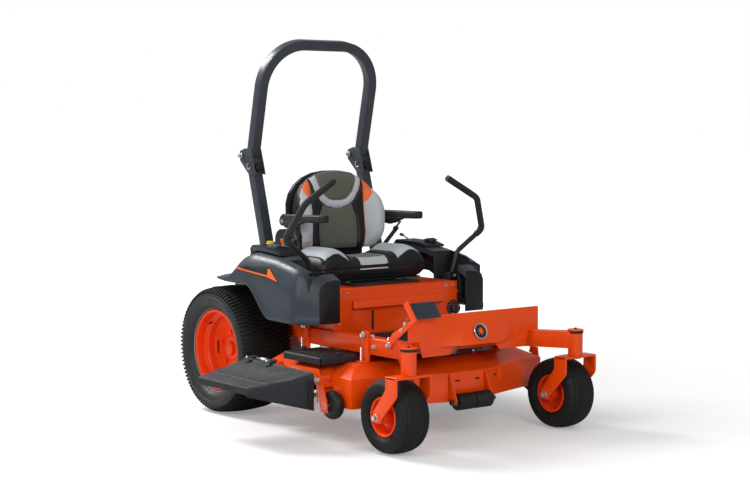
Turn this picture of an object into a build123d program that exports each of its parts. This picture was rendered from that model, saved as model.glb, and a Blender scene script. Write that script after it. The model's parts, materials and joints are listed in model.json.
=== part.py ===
from build123d import *
import os
from math import cos, hypot, radians, sin, tan

# Zero turn mower, in millimetres. +Z is up, the front faces -Y and the operator's left is +X.
# The origin is on the ground, on the machine's middle plane, below the drive axle.

# Driving dimensions
clear = 0.3                   # gap between two bodies that pass each other
fit = 0.05                    # radial gap of a shaft in its bore

drive_tyre_radius = 313.5
drive_tyre_width = 290
drive_track = 942             # between the middles of the drive tyres
drive_bead_radius = 190
axle_radius = 25

caster_spread = 996           # between the two swivel axes
caster_y = -1400
caster_trail = 95
caster_tyre_radius = 165
caster_tyre_width = 160
caster_bead_radius = 82
caster_stem_radius = 20
caster_bolt_radius = 9
pivot_tube_radius = 34
pivot_bottom = 351.4
pivot_top = 466.5

rail_spread = 730             # between the middles of the front rails
rail_width = 64
rail_height = 76
rail_top = 462
rail_front = -1200
rail_rear = -430
rear_rail_spread = 540
rear_rail_end = 460
cross_height = 38

floor_top = 430.5
sheet = 3
plate = 5

panel_half = 390
panel_top = 575
panel_bottom = 394
panel_y = -1262
panel_bulge = 50

seat_box_half = 378
seat_box_front = -700
seat_box_rear = -350
seat_box_top = 650
door_half = 262
door_bottom = 437
door_top = 555

pod_outer = 580
pod_wall = 5
lever_y = -605
lever_x = 424
lever_pin_z = 668
lever_tube_radius = 10
grip_radius = 14

post_spread = 674             # between the middles of the roll bar's legs
post_tube = 50
post_wall = 5
post_lean = 16.0
hoop_lean = 12.6
fold_split_z = 1245
fold_split_y = 33
hoop_top = 1838
hoop_bend = 220
fold_gap = 14                 # between the lower leg's end and the hoop's
fold_pivot_y = 84
fold_pivot_z = 1264
fold_bolt_radius = 8
ear = 6

deck_bottom = 167
deck_skirt_top = 300
deck_top = 352
deck_wall = 4
deck_side = 618
deck_rear = -462
blade_length = 424
blade_z = 185
spindle_x = 390
spindle_outer_y = -780
spindle_middle_y = -975
spindle_shaft_radius = 12.5
deck_drop = 100

wheel_bracket_x = 651         # outer face of the plate that carries the right gauge wheel
gauge_y = -1000
gauge_z = 180
gauge_radius = 64
gauge_width = 50
gauge_bolt_radius = 8
roller_y = -1248
roller_z = 172
roller_radius = 38
roller_length = 100

chute_hinge_x = -668
chute_hinge_z = 330
chute_rear = -420
chute_front = -985
chute_reach = 285
chute_drop = 66

seat_pan_z = 668
seat_pan_half = 296
cushion_half = 344
cushion_front = -535
cushion_rear = -262
back_lean = 4
back_base_y = -238
back_base_z = 800

hitch_y = 497
hitch_hole_radius = 10
bagger_hole_spread = 300
bagger_hole_radius = 6.5

# Sizes that follow
drive_x = drive_track / 2
caster_x = caster_spread / 2
wheel_y = caster_y + caster_trail
rail_x = rail_spread / 2
rail_bottom = rail_top - rail_height
rail_outer = rail_x + rail_width / 2
rail_inner = rail_x - rail_width / 2
rear_x = rear_rail_spread / 2
rear_inner = rear_x - rail_width / 2
cross_top = floor_top - plate
fork_top = pivot_bottom - clear
post_x = post_spread / 2

os.makedirs("parts", exist_ok=True)


# Helpers: each adds to the part that is being built
def block(x, y, z, mode=Mode.ADD):
    """A box from pairs of low and high values."""
    with Locations(((x[0] + x[1]) / 2, (y[0] + y[1]) / 2, (z[0] + z[1]) / 2)):
        Box(x[1] - x[0], y[1] - y[0], z[1] - z[0], mode=mode)


def side_plate(points, x0, x1, mode=Mode.ADD):
    """A side outline, given as (y, z) points, from x0 to x1."""
    with BuildSketch(Plane.YZ.offset(x0)) as outline:
        with BuildLine():
            Polyline(*points, close=True)
        make_face()
    extrude(outline.sketch, amount=x1 - x0, mode=mode)


def front_plate(points, y0, y1, mode=Mode.ADD):
    """A front outline, given as (x, z) points, from y1 forward to y0."""
    with BuildSketch(Plane.XZ.offset(-y1)) as outline:
        with BuildLine():
            Polyline(*points, close=True)
        make_face()
    extrude(outline.sketch, amount=y1 - y0, mode=mode)


def top_plate(points, z0, z1, mode=Mode.ADD):
    """A plan outline, given as (x, y) points, from z0 to z1."""
    with BuildSketch(Plane.XY.offset(z0)) as outline:
        with BuildLine():
            Polyline(*points, close=True)
        make_face()
    extrude(outline.sketch, amount=z1 - z0, mode=mode)


def rod_x(radius, x0, x1, y, z, mode=Mode.ADD):
    with BuildSketch(Plane.YZ.offset(x0)) as outline:
        with Locations((y, z)):
            Circle(radius)
    extrude(outline.sketch, amount=x1 - x0, mode=mode)


def rod_y(radius, y0, y1, x, z, mode=Mode.ADD):
    with BuildSketch(Plane.XZ.offset(-y1)) as outline:
        with Locations((x, z)):
            Circle(radius)
    extrude(outline.sketch, amount=y1 - y0, mode=mode)


def rod_z(radius, z0, z1, x, y, mode=Mode.ADD):
    with BuildSketch(Plane.XY.offset(z0)) as outline:
        with Locations((x, y)):
            Circle(radius)
    extrude(outline.sketch, amount=z1 - z0, mode=mode)


def finish(piece, name):
    piece.part.label = name
    export_step(piece.part, f"parts/{name}.step")


def finish_pair(piece, name):
    """Writes a left-hand piece and its mirror image."""
    finish(piece, f"{name}_left")
    with BuildPart() as other:
        mirror(piece.part, about=Plane.YZ)
    finish(other, f"{name}_right")


def both_sides(piece):
    """One node with a left-hand piece and its mirror image as separate solids."""
    with BuildPart() as pair:
        add(piece.part)
        mirror(piece.part, about=Plane.YZ)
    return pair


# Wheels
def make_tyre(centre, radius, width, bead_radius, bead_half):
    wheel_plane = Plane(origin=centre, x_dir=(1, 0, 0), z_dir=(0, -1, 0))
    lip = bead_radius + 13
    shoulder = radius * 0.045
    tread_half = width * 0.40
    with BuildPart() as tyre:
        with BuildSketch(wheel_plane):
            with BuildLine():
                Line((-bead_half, bead_radius), (bead_half, bead_radius))
                Line((bead_half, bead_radius), (bead_half, lip))
                ThreePointArc((bead_half, lip), (width / 2, (lip + radius) / 2),
                              (tread_half, radius - shoulder))
                ThreePointArc((tread_half, radius - shoulder), (0, radius),
                              (-tread_half, radius - shoulder))
                ThreePointArc((-tread_half, radius - shoulder), (-width / 2, (lip + radius) / 2),
                              (-bead_half, lip))
                Line((-bead_half, lip), (-bead_half, bead_radius))
            make_face()
        revolve(axis=Axis(centre, (1, 0, 0)))
    return tyre


def ring(radius_in, radius_out, axial0, axial1):
    """One rectangle of a wheel's section: a ring between two radii."""
    with Locations(((axial0 + axial1) / 2, (radius_in + radius_out) / 2)):
        Rectangle(axial1 - axial0, radius_out - radius_in)


drive_centre = (drive_x, 0, drive_tyre_radius)
drive_bead_half = drive_tyre_width * 0.36
drive_barrel = drive_bead_radius - 0.5
disc_offset = 12
finish_pair(make_tyre(drive_centre, drive_tyre_radius, drive_tyre_width, drive_bead_radius,
                      drive_bead_half), "drive_tyre")

with BuildPart() as drive_rim:
    with BuildSketch(Plane(origin=drive_centre, x_dir=(1, 0, 0), z_dir=(0, -1, 0))):
        ring(drive_barrel - 6, drive_barrel, -drive_bead_half - 2, drive_bead_half + 2)
        for edge in (-drive_bead_half - 7, drive_bead_half + 0.5):
            ring(drive_barrel - 6, drive_bead_radius + 9, edge, edge + 6.5)
        ring(drive_barrel - 30, drive_barrel - 5, 58, 64)
        ring(drive_barrel - 30, drive_barrel - 24, disc_offset, 64)
        ring(55, drive_barrel - 26, disc_offset, disc_offset + 6)
        ring(axle_radius + fit, 60, disc_offset - 10, disc_offset + 14)
    revolve(axis=Axis(drive_centre, (1, 0, 0)))
    disc_plane = Plane(origin=(drive_x + disc_offset, 0, drive_tyre_radius), x_dir=(0, 1, 0),
                       z_dir=(1, 0, 0))
    with BuildSketch(disc_plane):
        with PolarLocations(122, 8):
            SlotOverall(34, 16, rotation=90)
    extrude(amount=10, both=True, mode=Mode.SUBTRACT)
    with BuildSketch(disc_plane.offset(6)):
        with PolarLocations(80, 5):
            RegularPolygon(12, 6)
    extrude(amount=12)
finish_pair(drive_rim, "drive_rim")

caster_centre = (caster_x, wheel_y, caster_tyre_radius)
caster_bead_half = 62
finish_pair(make_tyre(caster_centre, caster_tyre_radius, caster_tyre_width, caster_bead_radius,
                      caster_bead_half), "caster_tyre")

caster_barrel = caster_bead_radius - 0.5
with BuildPart() as caster_rim:
    with BuildSketch(Plane(origin=caster_centre, x_dir=(1, 0, 0), z_dir=(0, -1, 0))):
        ring(caster_barrel - 5, caster_barrel, -caster_bead_half - 2, caster_bead_half + 2)
        for edge in (-caster_bead_half - 5.5, caster_bead_half + 0.5):
            ring(caster_barrel - 5, caster_bead_radius + 6.5, edge, edge + 5)
        ring(28, caster_barrel - 4, -4, 4)
        ring(caster_bolt_radius + fit, 30, -78, 78)
    revolve(axis=Axis(caster_centre, (1, 0, 0)))
finish_pair(caster_rim, "caster_rim")

# Caster forks: a stem, a top plate and two arms that sweep back to the wheel bolt
fork_inner = 90
fork_thick = 10
fork_plate_bottom = fork_top - fork_thick
arm_front = caster_y - 38
arm_back = caster_y + 22
arm_points = [(arm_front, fork_top), (arm_back, fork_top), (arm_back, 285),
              (wheel_y + 24, caster_tyre_radius + 8), (wheel_y + 14, caster_tyre_radius - 20),
              (wheel_y - 14, caster_tyre_radius - 22), (wheel_y - 24, caster_tyre_radius),
              (arm_front, 262)]
with BuildPart() as fork:
    block((caster_x - fork_inner - fork_thick, caster_x + fork_inner + fork_thick),
          (arm_front, caster_y + 42), (fork_plate_bottom, fork_top))
    for side in (-1, 1):
        near = caster_x + side * fork_inner
        far = near + side * fork_thick
        side_plate(arm_points, min(near, far), max(near, far))
        rod_x(15, min(far, far + side * 8), max(far, far + side * 8), wheel_y, caster_tyre_radius)
    rod_x(caster_bolt_radius, caster_x - fork_inner, caster_x + fork_inner, wheel_y,
          caster_tyre_radius)
    rod_z(caster_stem_radius - fit, fork_plate_bottom, pivot_top - 6, caster_x, caster_y)
finish_pair(fork, "fork")

# Main frame: front rails, rear rails, cross tubes, and the arms that carry the casters
with BuildPart() as rails:
    for side in (-1, 1):
        front = sorted((side * rail_inner, side * rail_outer))
        rear = sorted((side * rear_inner, side * (rear_inner + rail_width)))
        block(front, (rail_front, rail_rear), (rail_bottom, rail_top))
        block(rear, (rail_rear - 10, rear_rail_end), (rail_bottom, rail_top))
finish(rails, "frame_rails")

arm_run = (caster_x - rail_x, caster_y - rail_front)
arm_length = hypot(*arm_run)
arm_side = (-arm_run[1] / arm_length * rail_width / 2, arm_run[0] / arm_length * rail_width / 2)
with BuildPart() as caster_arm:
    top_plate([(rail_inner, rail_front), (rail_outer, rail_front),
               (caster_x + arm_side[0], caster_y + arm_side[1]),
               (caster_x - arm_side[0], caster_y - arm_side[1])], rail_bottom, rail_top)
    rod_z(pivot_tube_radius, pivot_bottom, pivot_top, caster_x, caster_y)
    rod_z(caster_stem_radius, pivot_bottom, pivot_top - 4, caster_x, caster_y, Mode.SUBTRACT)
    rod_z(pivot_tube_radius + 3, pivot_top, pivot_top + 6, caster_x, caster_y)
    rod_z(6, pivot_top + 6, pivot_top + 14, caster_x, caster_y)
finish(both_sides(caster_arm), "caster_arms")

guide_thick = 6
guide_plate = (rail_outer, rail_outer + guide_thick)
guide_stations = (-975, -515)
pin_radius = 8
pin_z = 474
upright_x = (post_x - post_tube / 2 - 8, post_x - post_tube / 2)


def post_y(z):
    """Middle of the roll bar's lower leg at a height."""
    return fold_split_y - (fold_split_z - z) * tan(radians(post_lean))


post_bottom = 650
with BuildPart() as crossmembers:
    for front, back in ((-1120, -1060), (-735, -675)):
        block((-rail_inner, rail_inner), (front, back), (cross_top - cross_height, cross_top))
    block((-rail_inner, rail_inner), (rail_rear - 70, rail_rear - 10), (rail_bottom, rail_top))
    block((-rear_inner, rear_inner), (rear_rail_end - 60, rear_rail_end), (rail_bottom, rail_top))
    block((-rear_inner - rail_width, rear_inner + rail_width), (-20, rear_rail_end),
          (rail_top, rail_top + plate))
    for side in (-1, 1):
        # guide plates beside the rails, slotted for the deck's lift pins
        for y in guide_stations:
            x0, x1 = sorted((side * guide_plate[0], side * guide_plate[1]))
            block((x0, x1), (y - 24, y + 24), (pin_z - deck_drop - 19, pin_z + 18))
            with BuildSketch(Plane.YZ.offset(x0)):
                with Locations((y, pin_z - deck_drop / 2)):
                    SlotOverall(deck_drop + 2 * (pin_radius + clear), 2 * (pin_radius + clear),
                                rotation=90)
            extrude(amount=x1 - x0, mode=Mode.SUBTRACT)
        # the uprights that carry the roll bar and the tower behind the seat
        x0, x1 = sorted((side * upright_x[0], side * upright_x[1]))
        side_plate([(-260, rail_top), (-40, rail_top), (post_y(760) + 24, 760),
                    (post_y(760) - 34, 760)], x0, x1)
        block(sorted((side * (rear_inner + rail_width - 2), side * upright_x[0])), (-260, -40),
              (rail_top, rail_top + 8))
    # hitch tongue below the rear cross tube, and the plate for rear attachments
    block((-60, 60), (rear_rail_end - 60, hitch_y + 28), (rail_bottom - 12, rail_bottom))
    rod_z(hitch_hole_radius, rail_bottom - 12, rail_bottom, 0, hitch_y, Mode.SUBTRACT)
    block((-190, 190), (rear_rail_end, rear_rail_end + 8), (rail_bottom, rail_top))
    for x in (-bagger_hole_spread / 2, bagger_hole_spread / 2):
        rod_y(bagger_hole_radius, rear_rail_end, rear_rail_end + 8, x, rail_top - rail_height / 2,
              Mode.SUBTRACT)
finish(crossmembers, "frame_crossmembers")

# Foot space: floor and front panel
with BuildPart() as floor_pan:
    block((-rail_inner + 1, rail_inner - 1), (panel_y + 4, seat_box_front), (cross_top, floor_top))
finish(floor_pan, "floor_pan")

bulge_wide = 235
bulge_narrow = 108
notch_z = panel_bottom + 42


def panel_bulge_solid(inset):
    """The wedge that stands out of the panel's middle towards its lower edge."""
    with BuildSketch(Plane.XY.offset(notch_z)) as low:
        with BuildLine():
            Polyline((-bulge_wide + inset, panel_y + inset), (bulge_wide - inset, panel_y + inset),
                     (bulge_narrow - inset, panel_y - panel_bulge + inset),
                     (-bulge_narrow + inset, panel_y - panel_bulge + inset), close=True)
        make_face()
    with BuildSketch(Plane.XY.offset(panel_top - 6)) as high:
        with BuildLine():
            Polyline((-bulge_wide + inset, panel_y + inset), (bulge_wide - inset, panel_y + inset),
                     (bulge_narrow - inset, panel_y - 1 + inset),
                     (-bulge_narrow + inset, panel_y - 1 + inset), close=True)
        make_face()
    loft([low.sketch, high.sketch], ruled=True, mode=Mode.ADD if inset == 0 else Mode.SUBTRACT)


with BuildPart() as foot_panel:
    lower_half = rail_inner - 4
    front_plate([(-panel_half, panel_top), (panel_half, panel_top), (panel_half, rail_top + 3),
                 (lower_half, rail_top + 3), (lower_half - 20, panel_bottom), (150, panel_bottom),
                 (bulge_narrow, notch_z), (-bulge_narrow, notch_z), (-150, panel_bottom),
                 (20 - lower_half, panel_bottom), (-lower_half, rail_top + 3),
                 (-panel_half, rail_top + 3)], panel_y, panel_y + sheet)
    panel_bulge_solid(0)
    panel_bulge_solid(sheet)
    # a rolled top edge and gussets down to the floor
    block((-panel_half, panel_half), (panel_y, panel_y + 16), (panel_top - sheet, panel_top))
    for side in (-1, 1):
        x0, x1 = sorted((side * (lower_half - 6), side * (lower_half - 6 + sheet)))
        side_plate([(panel_y + sheet, panel_top - sheet), (panel_y + sheet, floor_top),
                    (panel_y + 90, floor_top)], x0, x1)
finish(foot_panel, "foot_panel")

# Seat box with its service door
lever_boss_radius = 20
lever_pivot_z = 625
with BuildPart() as seat_box:
    block((-seat_box_half, seat_box_half), (seat_box_front, seat_box_rear), (rail_top, seat_box_top))
    block((-seat_box_half + sheet, seat_box_half - sheet),
          (seat_box_front + sheet, seat_box_rear), (rail_top, seat_box_top - sheet), Mode.SUBTRACT)
    block((-rail_inner + 1, rail_inner - 1), (seat_box_front, seat_box_front + sheet),
          (floor_top, rail_top))
    block((-door_half - 1, door_half + 1), (seat_box_front, seat_box_front + sheet),
          (door_bottom - 1, door_top + 1), Mode.SUBTRACT)
    # the hood over the door and the ledge that the door rests against
    front_plate([(-door_half - 10, door_top + 2), (door_half + 10, door_top + 2),
                 (door_half + 10, door_top + 40), (-door_half - 10, door_top + 40)],
                seat_box_front - 10, seat_box_front)
    for side in (-1, 1):
        block(sorted((side * (door_half - 8), side * (door_half + 12))),
              (seat_box_front + 2 * sheet, seat_box_front + 3 * sheet), (door_bottom, door_top))
        block(sorted((side * (door_half + 1), side * (door_half + 12))),
              (seat_box_front, seat_box_front + 3 * sheet), (door_bottom, door_top))
        # bearing bosses of the steering levers
        x0, x1 = sorted((side * (seat_box_half - 14), side * (seat_box_half + 8)))
        rod_x(lever_boss_radius, x0, x1, lever_y, lever_pivot_z)
        rod_x(10 + fit, x0, x1, lever_y, lever_pivot_z, Mode.SUBTRACT)
        # the tower's side walls reach back to the roll bar's uprights
        x0, x1 = sorted((side * (upright_x[0] - sheet), side * upright_x[0]))
        block((x0, x1), (seat_box_rear, -170), (rail_top + 8, seat_box_top))
    block((-upright_x[0], upright_x[0]), (seat_box_rear, -170), (seat_box_top - sheet, seat_box_top))
    fillet(seat_box.edges().filter_by(Axis.Z).filter_by(
        lambda e: abs(abs(e.center().X) - seat_box_half) < 1 and e.center().Y < seat_box_front + 1),
        radius=6)
finish(seat_box, "seat_box")

with BuildPart() as door:
    block((-door_half, door_half), (seat_box_front + 1, seat_box_front + 1 + sheet + 2),
          (door_bottom, door_top))
    with BuildSketch(Plane.XZ.offset(-seat_box_front)):
        with Locations((-150, (door_bottom + door_top) / 2)):
            SlotOverall(92, 9, rotation=90)
    extrude(amount=-20, mode=Mode.SUBTRACT)
finish(door, "seat_box_door")

# Side pods: moulded fenders over the drive tyres, with a slot for each lever
pod_inner = seat_box_half + clear
pod_front = -756
pod_top_line = [(pod_front, 704), (-635, 762), (-450, 800), (-260, 816), (-170, 787)]
pod_outline = [(pod_front + 5, 497)] + pod_top_line + [(-92, 704), (-40, 692), (16, 686), (32, 674),
                                                       (20, 662), (-144, 655), (-240, 661),
                                                       (-300, 633), (-400, 527), (-436, 502)]
pod_corner_x = 80             # how much of the front outer corner is cut away, across and along
pod_corner_y = 108


def pod_height(y):
    """Height of the pod's top edge at a place along the machine."""
    for (y0, z0), (y1, z1) in zip(pod_top_line, pod_top_line[1:]):
        if y0 <= y <= y1:
            return z0 + (z1 - z0) * (y - y0) / (y1 - y0)
    return pod_top_line[-1][1]


def cut_pod_corner(shift):
    """Takes off the front outer corner, moved inwards by a shift across and along."""
    x = pod_outer - shift
    y = pod_front + 0.75 * shift
    top_plate([(x - pod_corner_x, y), (x, y + pod_corner_y), (x + 20, y + pod_corner_y),
               (x + 20, y - 20), (x - pod_corner_x, y - 20)], 480, 900, Mode.SUBTRACT)


with BuildPart() as pod_space:
    with BuildSketch(Plane.YZ.offset(pod_inner)):
        with BuildLine():
            Polyline(*pod_outline, close=True)
        make_face()
        offset(amount=-pod_wall, kind=Kind.INTERSECTION, mode=Mode.REPLACE)
    extrude(amount=pod_outer - pod_inner - 2 * pod_wall)
    cut_pod_corner(pod_wall)

with BuildPart() as pod:
    side_plate(pod_outline, pod_inner, pod_outer)
    fillet(pod.edges().filter_by(lambda e: abs(e.center().X - pod_outer) < 0.1
                                 and e.center().Z > 700 and e.center().Y < -100), radius=24)
    cut_pod_corner(0)
    add(pod_space.part, mode=Mode.SUBTRACT)
    block((pod_inner, 524), (-705, -515), (560, 900), Mode.SUBTRACT)
finish_pair(pod, "fender")

# Consoles behind the levers
console_x = (pod_inner + 4, 505)
console_y = (-450, -195)
console_top = 840
left_console_top = 828
cap_height = 13


def make_console(top):
    front_top = max(top - 34, pod_height(console_y[0]) + 12)
    with BuildPart() as console:
        side_plate([(console_y[0], pod_height(console_y[0]) + clear), (-260, 816 + clear),
                    (console_y[1], pod_height(console_y[1]) + clear), (console_y[1] + 6, top - 18),
                    (console_y[1] - 14, top), (console_y[0] + 60, top - 4),
                    (console_y[0] + 6, front_top)], *console_x)
        fillet(console.edges().filter_by(Axis.X).sort_by(Axis.Z)[-3:], radius=3)
    return console


knob_x = 455
pto_y = -290
throttle_y = -345
throttle_x = 420
lever_half = 4                # half the thickness of the throttle and brake levers
with BuildPart() as right_console_left_hand:
    add(make_console(console_top).part)
    rod_z(6 + fit, console_top - 24, console_top + 1, knob_x, pto_y, Mode.SUBTRACT)
    block((throttle_x - lever_half - clear, throttle_x + lever_half + clear),
          (throttle_y - 30, throttle_y + 30), (console_top - 26, console_top + 1), Mode.SUBTRACT)
    rod_z(28, console_top - 22, console_top + 1, 458, -380, Mode.SUBTRACT)
with BuildPart() as console_right:
    mirror(right_console_left_hand.part, about=Plane.YZ)
finish(console_right, "console_right")

brake_x = 420
cap_y = -390
with BuildPart() as console_left:
    add(make_console(left_console_top).part)
    block((brake_x - lever_half - clear, brake_x + lever_half + clear), (-330, -230),
          (left_console_top - 30, left_console_top + 1), Mode.SUBTRACT)
    rod_z(22 + fit, left_console_top - 24, left_console_top + 1, 462, cap_y, Mode.SUBTRACT)
finish(console_left, "console_left")

# Controls on the consoles
with BuildPart() as pto_knob:
    rod_z(6, console_top - 22, console_top + 4, -knob_x, pto_y)
    with BuildSketch(Plane.XY.offset(console_top + 4)):
        with Locations((-knob_x, pto_y)):
            Circle(19)
    extrude(amount=16, taper=12)
finish(pto_knob, "pto_knob")

throttle_pin_z = console_top - 16
with BuildPart() as throttle:
    block((-throttle_x - lever_half, -throttle_x + lever_half), (throttle_y - 5, throttle_y + 5),
          (throttle_pin_z - 6, console_top + 14))
    rod_x(8, -throttle_x - lever_half, -throttle_x + lever_half, throttle_y, throttle_pin_z)
    block((-throttle_x - 10, -throttle_x + 10), (throttle_y - 8, throttle_y + 8),
          (console_top + 14, console_top + 34))
finish(throttle, "throttle_lever")

brake_pin_z = left_console_top + 2
brake_pin_y = -280
with BuildPart() as brake:
    side_plate([(brake_pin_y - 6, brake_pin_z - 6), (brake_pin_y + 6, brake_pin_z - 6),
                (brake_pin_y + 70, brake_pin_z + 16), (brake_pin_y + 68, brake_pin_z + 24)],
               brake_x - lever_half, brake_x + lever_half)
    rod_x(10, brake_x - lever_half, brake_x + lever_half, brake_pin_y, brake_pin_z)
    block((brake_x - 10, brake_x + 10), (brake_pin_y + 58, brake_pin_y + 84),
          (brake_pin_z + 14, brake_pin_z + 28))
finish(brake, "brake_lever")

with BuildPart() as fuel_cap:
    rod_z(22, left_console_top - 20, left_console_top + clear, 462, cap_y)
    with BuildSketch(Plane.XY.offset(left_console_top + clear)):
        with Locations((462, cap_y)):
            Circle(36)
    extrude(amount=cap_height, taper=4)
finish(fuel_cap, "fuel_cap")

dial_x = 350
dial_z = 520
with BuildPart() as dial:
    rod_y(8, seat_box_front - 2, seat_box_front, dial_x, dial_z)
    rod_y(26, seat_box_front - 30, seat_box_front - 2, dial_x, dial_z)
    block((dial_x - 5, dial_x + 5), (seat_box_front - 40, seat_box_front - 30),
          (dial_z - 24, dial_z + 24))
finish(dial, "height_dial")

# Roll bar: two lower legs with hinge ears, and the folding hoop
post_axis = Plane(origin=(post_x, fold_split_y, fold_split_z), x_dir=(1, 0, 0),
                  z_dir=(0, -sin(radians(post_lean)), -cos(radians(post_lean))))
post_length = (fold_split_z - post_bottom) / cos(radians(post_lean))
knob_z = 1208
with BuildPart() as post:
    with BuildSketch(post_axis):
        Rectangle(post_tube, post_tube)
        Rectangle(post_tube - 2 * post_wall, post_tube - 2 * post_wall, mode=Mode.SUBTRACT)
    extrude(amount=post_length)
    for x in (post_x - post_tube / 2 - ear, post_x + post_tube / 2):
        side_plate([(-34, 1170), (34, 1176), (106, 1240), (106, 1286), (60, 1300), (6, 1296),
                    (-16, 1230)], x, x + ear)
    rod_x(fold_bolt_radius, post_x - post_tube / 2 - ear, post_x + post_tube / 2 + ear,
          fold_pivot_y, fold_pivot_z)
    for x in (post_x - post_tube / 2 - ear - 8, post_x + post_tube / 2 + ear):
        rod_x(14, x, x + 8, fold_pivot_y, fold_pivot_z)
    # threaded boss for the clamp knob
    rod_y(15, post_y(knob_z) - post_tube / 2 - 12, post_y(knob_z) - post_tube / 2 + 4, post_x, knob_z)
    rod_y(6 + fit, post_y(knob_z) - post_tube / 2 - 13, post_y(knob_z) - post_tube / 2 + 14, post_x,
          knob_z, Mode.SUBTRACT)
finish_pair(post, "rops_post")

knob_face = post_y(knob_z) - post_tube / 2 - 12 - clear
with BuildPart() as rops_knob:
    rod_y(6, knob_face - 2, knob_face + 20, post_x, knob_z)
    with BuildSketch(Plane.XZ.offset(-knob_face)):
        with Locations((post_x, knob_z)):
            Circle(15)
            with PolarLocations(15, 6):
                Circle(6)
    extrude(amount=34)
finish_pair(rops_knob, "rops_knob")

hoop_tube = post_tube - 2 * 0.5
hoop_plane = Plane(origin=(0, fold_split_y, fold_split_z + fold_gap), x_dir=(1, 0, 0),
                   z_dir=(0, -cos(radians(hoop_lean)), -sin(radians(hoop_lean))))
hoop_height = (hoop_top - hoop_tube / 2 - fold_split_z - fold_gap) / cos(radians(hoop_lean))
with BuildPart() as hoop:
    with BuildLine(hoop_plane) as hoop_path:
        FilletPolyline((post_x, 0), (post_x, hoop_height), (-post_x, hoop_height), (-post_x, 0),
                       radius=hoop_bend)
    with BuildSketch(Plane(origin=hoop_path.line @ 0, x_dir=(1, 0, 0), z_dir=hoop_path.line % 0)):
        Rectangle(hoop_tube, hoop_tube)
    sweep()
    for side in (-1, 1):
        x = side * post_x
        rod_x(18, x - hoop_tube / 2, x + hoop_tube / 2, fold_pivot_y, fold_pivot_z)
        block((x - hoop_tube / 2, x + hoop_tube / 2), (fold_pivot_y - 38, fold_pivot_y),
              (fold_pivot_z - 6, fold_pivot_z + 18))
        rod_x(fold_bolt_radius + fit, x - hoop_tube, x + hoop_tube, fold_pivot_y, fold_pivot_z,
              Mode.SUBTRACT)
finish(hoop, "rops_hoop")

# Steering levers: a bracket that swings fore and aft, a tube that swings out, and its grip
pin_gap = 14
with BuildPart() as bracket:
    rod_x(10, seat_box_half - 14, seat_box_half + 8 + clear, lever_y, lever_pivot_z)
    block((seat_box_half + 8 + clear, seat_box_half + 16), (lever_y - 26, lever_y + 26),
          (lever_pivot_z - 24, lever_pin_z + 20))
    for y in (lever_y - pin_gap - 6, lever_y + pin_gap):
        block((seat_box_half + 16, lever_x + 16), (y, y + 6), (lever_pin_z - 18, lever_pin_z + 18))
    rod_y(6, lever_y - pin_gap, lever_y + pin_gap, lever_x, lever_pin_z)
finish_pair(bracket, "lever_bracket")

lever_points = [(lever_x, lever_y, lever_pin_z + 12), (457, -604, 787), (602, -627, 895),
                (524, -676, 1055), (345, -657, 1157)]
grip_start = tuple(a + 0.75 * (b - a) for a, b in zip(lever_points[1], lever_points[2]))
with BuildPart() as lap_bar:
    with BuildLine() as bar_path:
        FilletPolyline(*lever_points, radius=55)
    with BuildSketch(Plane(origin=bar_path.line @ 0, z_dir=bar_path.line % 0)):
        Circle(lever_tube_radius)
    sweep()
    rod_y(13, lever_y - pin_gap + clear, lever_y + pin_gap - clear, lever_x, lever_pin_z)
    rod_y(6 + fit, lever_y - pin_gap, lever_y + pin_gap, lever_x, lever_pin_z, Mode.SUBTRACT)
finish_pair(lap_bar, "lap_bar")

with BuildPart() as grip:
    with BuildLine() as grip_path:
        FilletPolyline(grip_start, *lever_points[2:], radius=55)
    with BuildSketch(Plane(origin=grip_path.line @ 0, z_dir=grip_path.line % 0)):
        Circle(grip_radius)
        Circle(lever_tube_radius + 0.1, mode=Mode.SUBTRACT)
    sweep()
finish_pair(grip, "grip")

# Seat
tilt_hinge_y = -620
tilt_hinge_radius = 4
with BuildPart() as seat_mount:
    block((-200, 200), (tilt_hinge_y, -180), (seat_box_top + clear, seat_box_top + 9))
    rod_x(tilt_hinge_radius, -200, 200, tilt_hinge_y, seat_box_top + clear + tilt_hinge_radius)
    for side in (-1, 1):
        block(sorted((side * 140, side * 176)), (-500, -190), (seat_box_top + 9, seat_pan_z - 5))
finish(seat_mount, "seat_mount")

back_plane = Plane(origin=(0, back_base_y, back_base_z), x_dir=(1, 0, 0),
                   z_dir=(0, -cos(radians(back_lean)), sin(radians(back_lean))))
back_half = [(36, 400), (104, 390), (166, 366), (214, 332), (248, 290), (266, 240), (268, 180),
             (256, 110), (200, -10)]
back_outline = back_half + [(-x, y) for x, y in reversed(back_half)]
wing_outline = [(196, 40), (238, 40), (260, 110), (264, 180), (260, 238), (244, 276), (222, 292),
                (204, 276), (194, 220), (190, 120)]
wing_reach = 72


def back_slab(near, far, inset, corner):
    """A slab of the backrest's outline between two depths behind its front face."""
    with BuildSketch(back_plane.offset(-near)) as outline:
        with BuildLine():
            Polyline(*back_outline, close=True)
        make_face()
        offset(amount=-inset, kind=Kind.INTERSECTION, mode=Mode.REPLACE)
        fillet(outline.vertices(), radius=corner)
    extrude(outline.sketch, amount=near - far)


with BuildPart() as seat_back:
    back_slab(0, 62, 0, 18)
    for side in (-1, 1):
        with BuildSketch(back_plane) as wing:
            with BuildLine():
                Polyline(*[(side * x, y) for x, y in wing_outline][::side], close=True)
            make_face()
        extrude(wing.sketch, amount=wing_reach, taper=10)
finish(seat_back, "seat_back")

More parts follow.
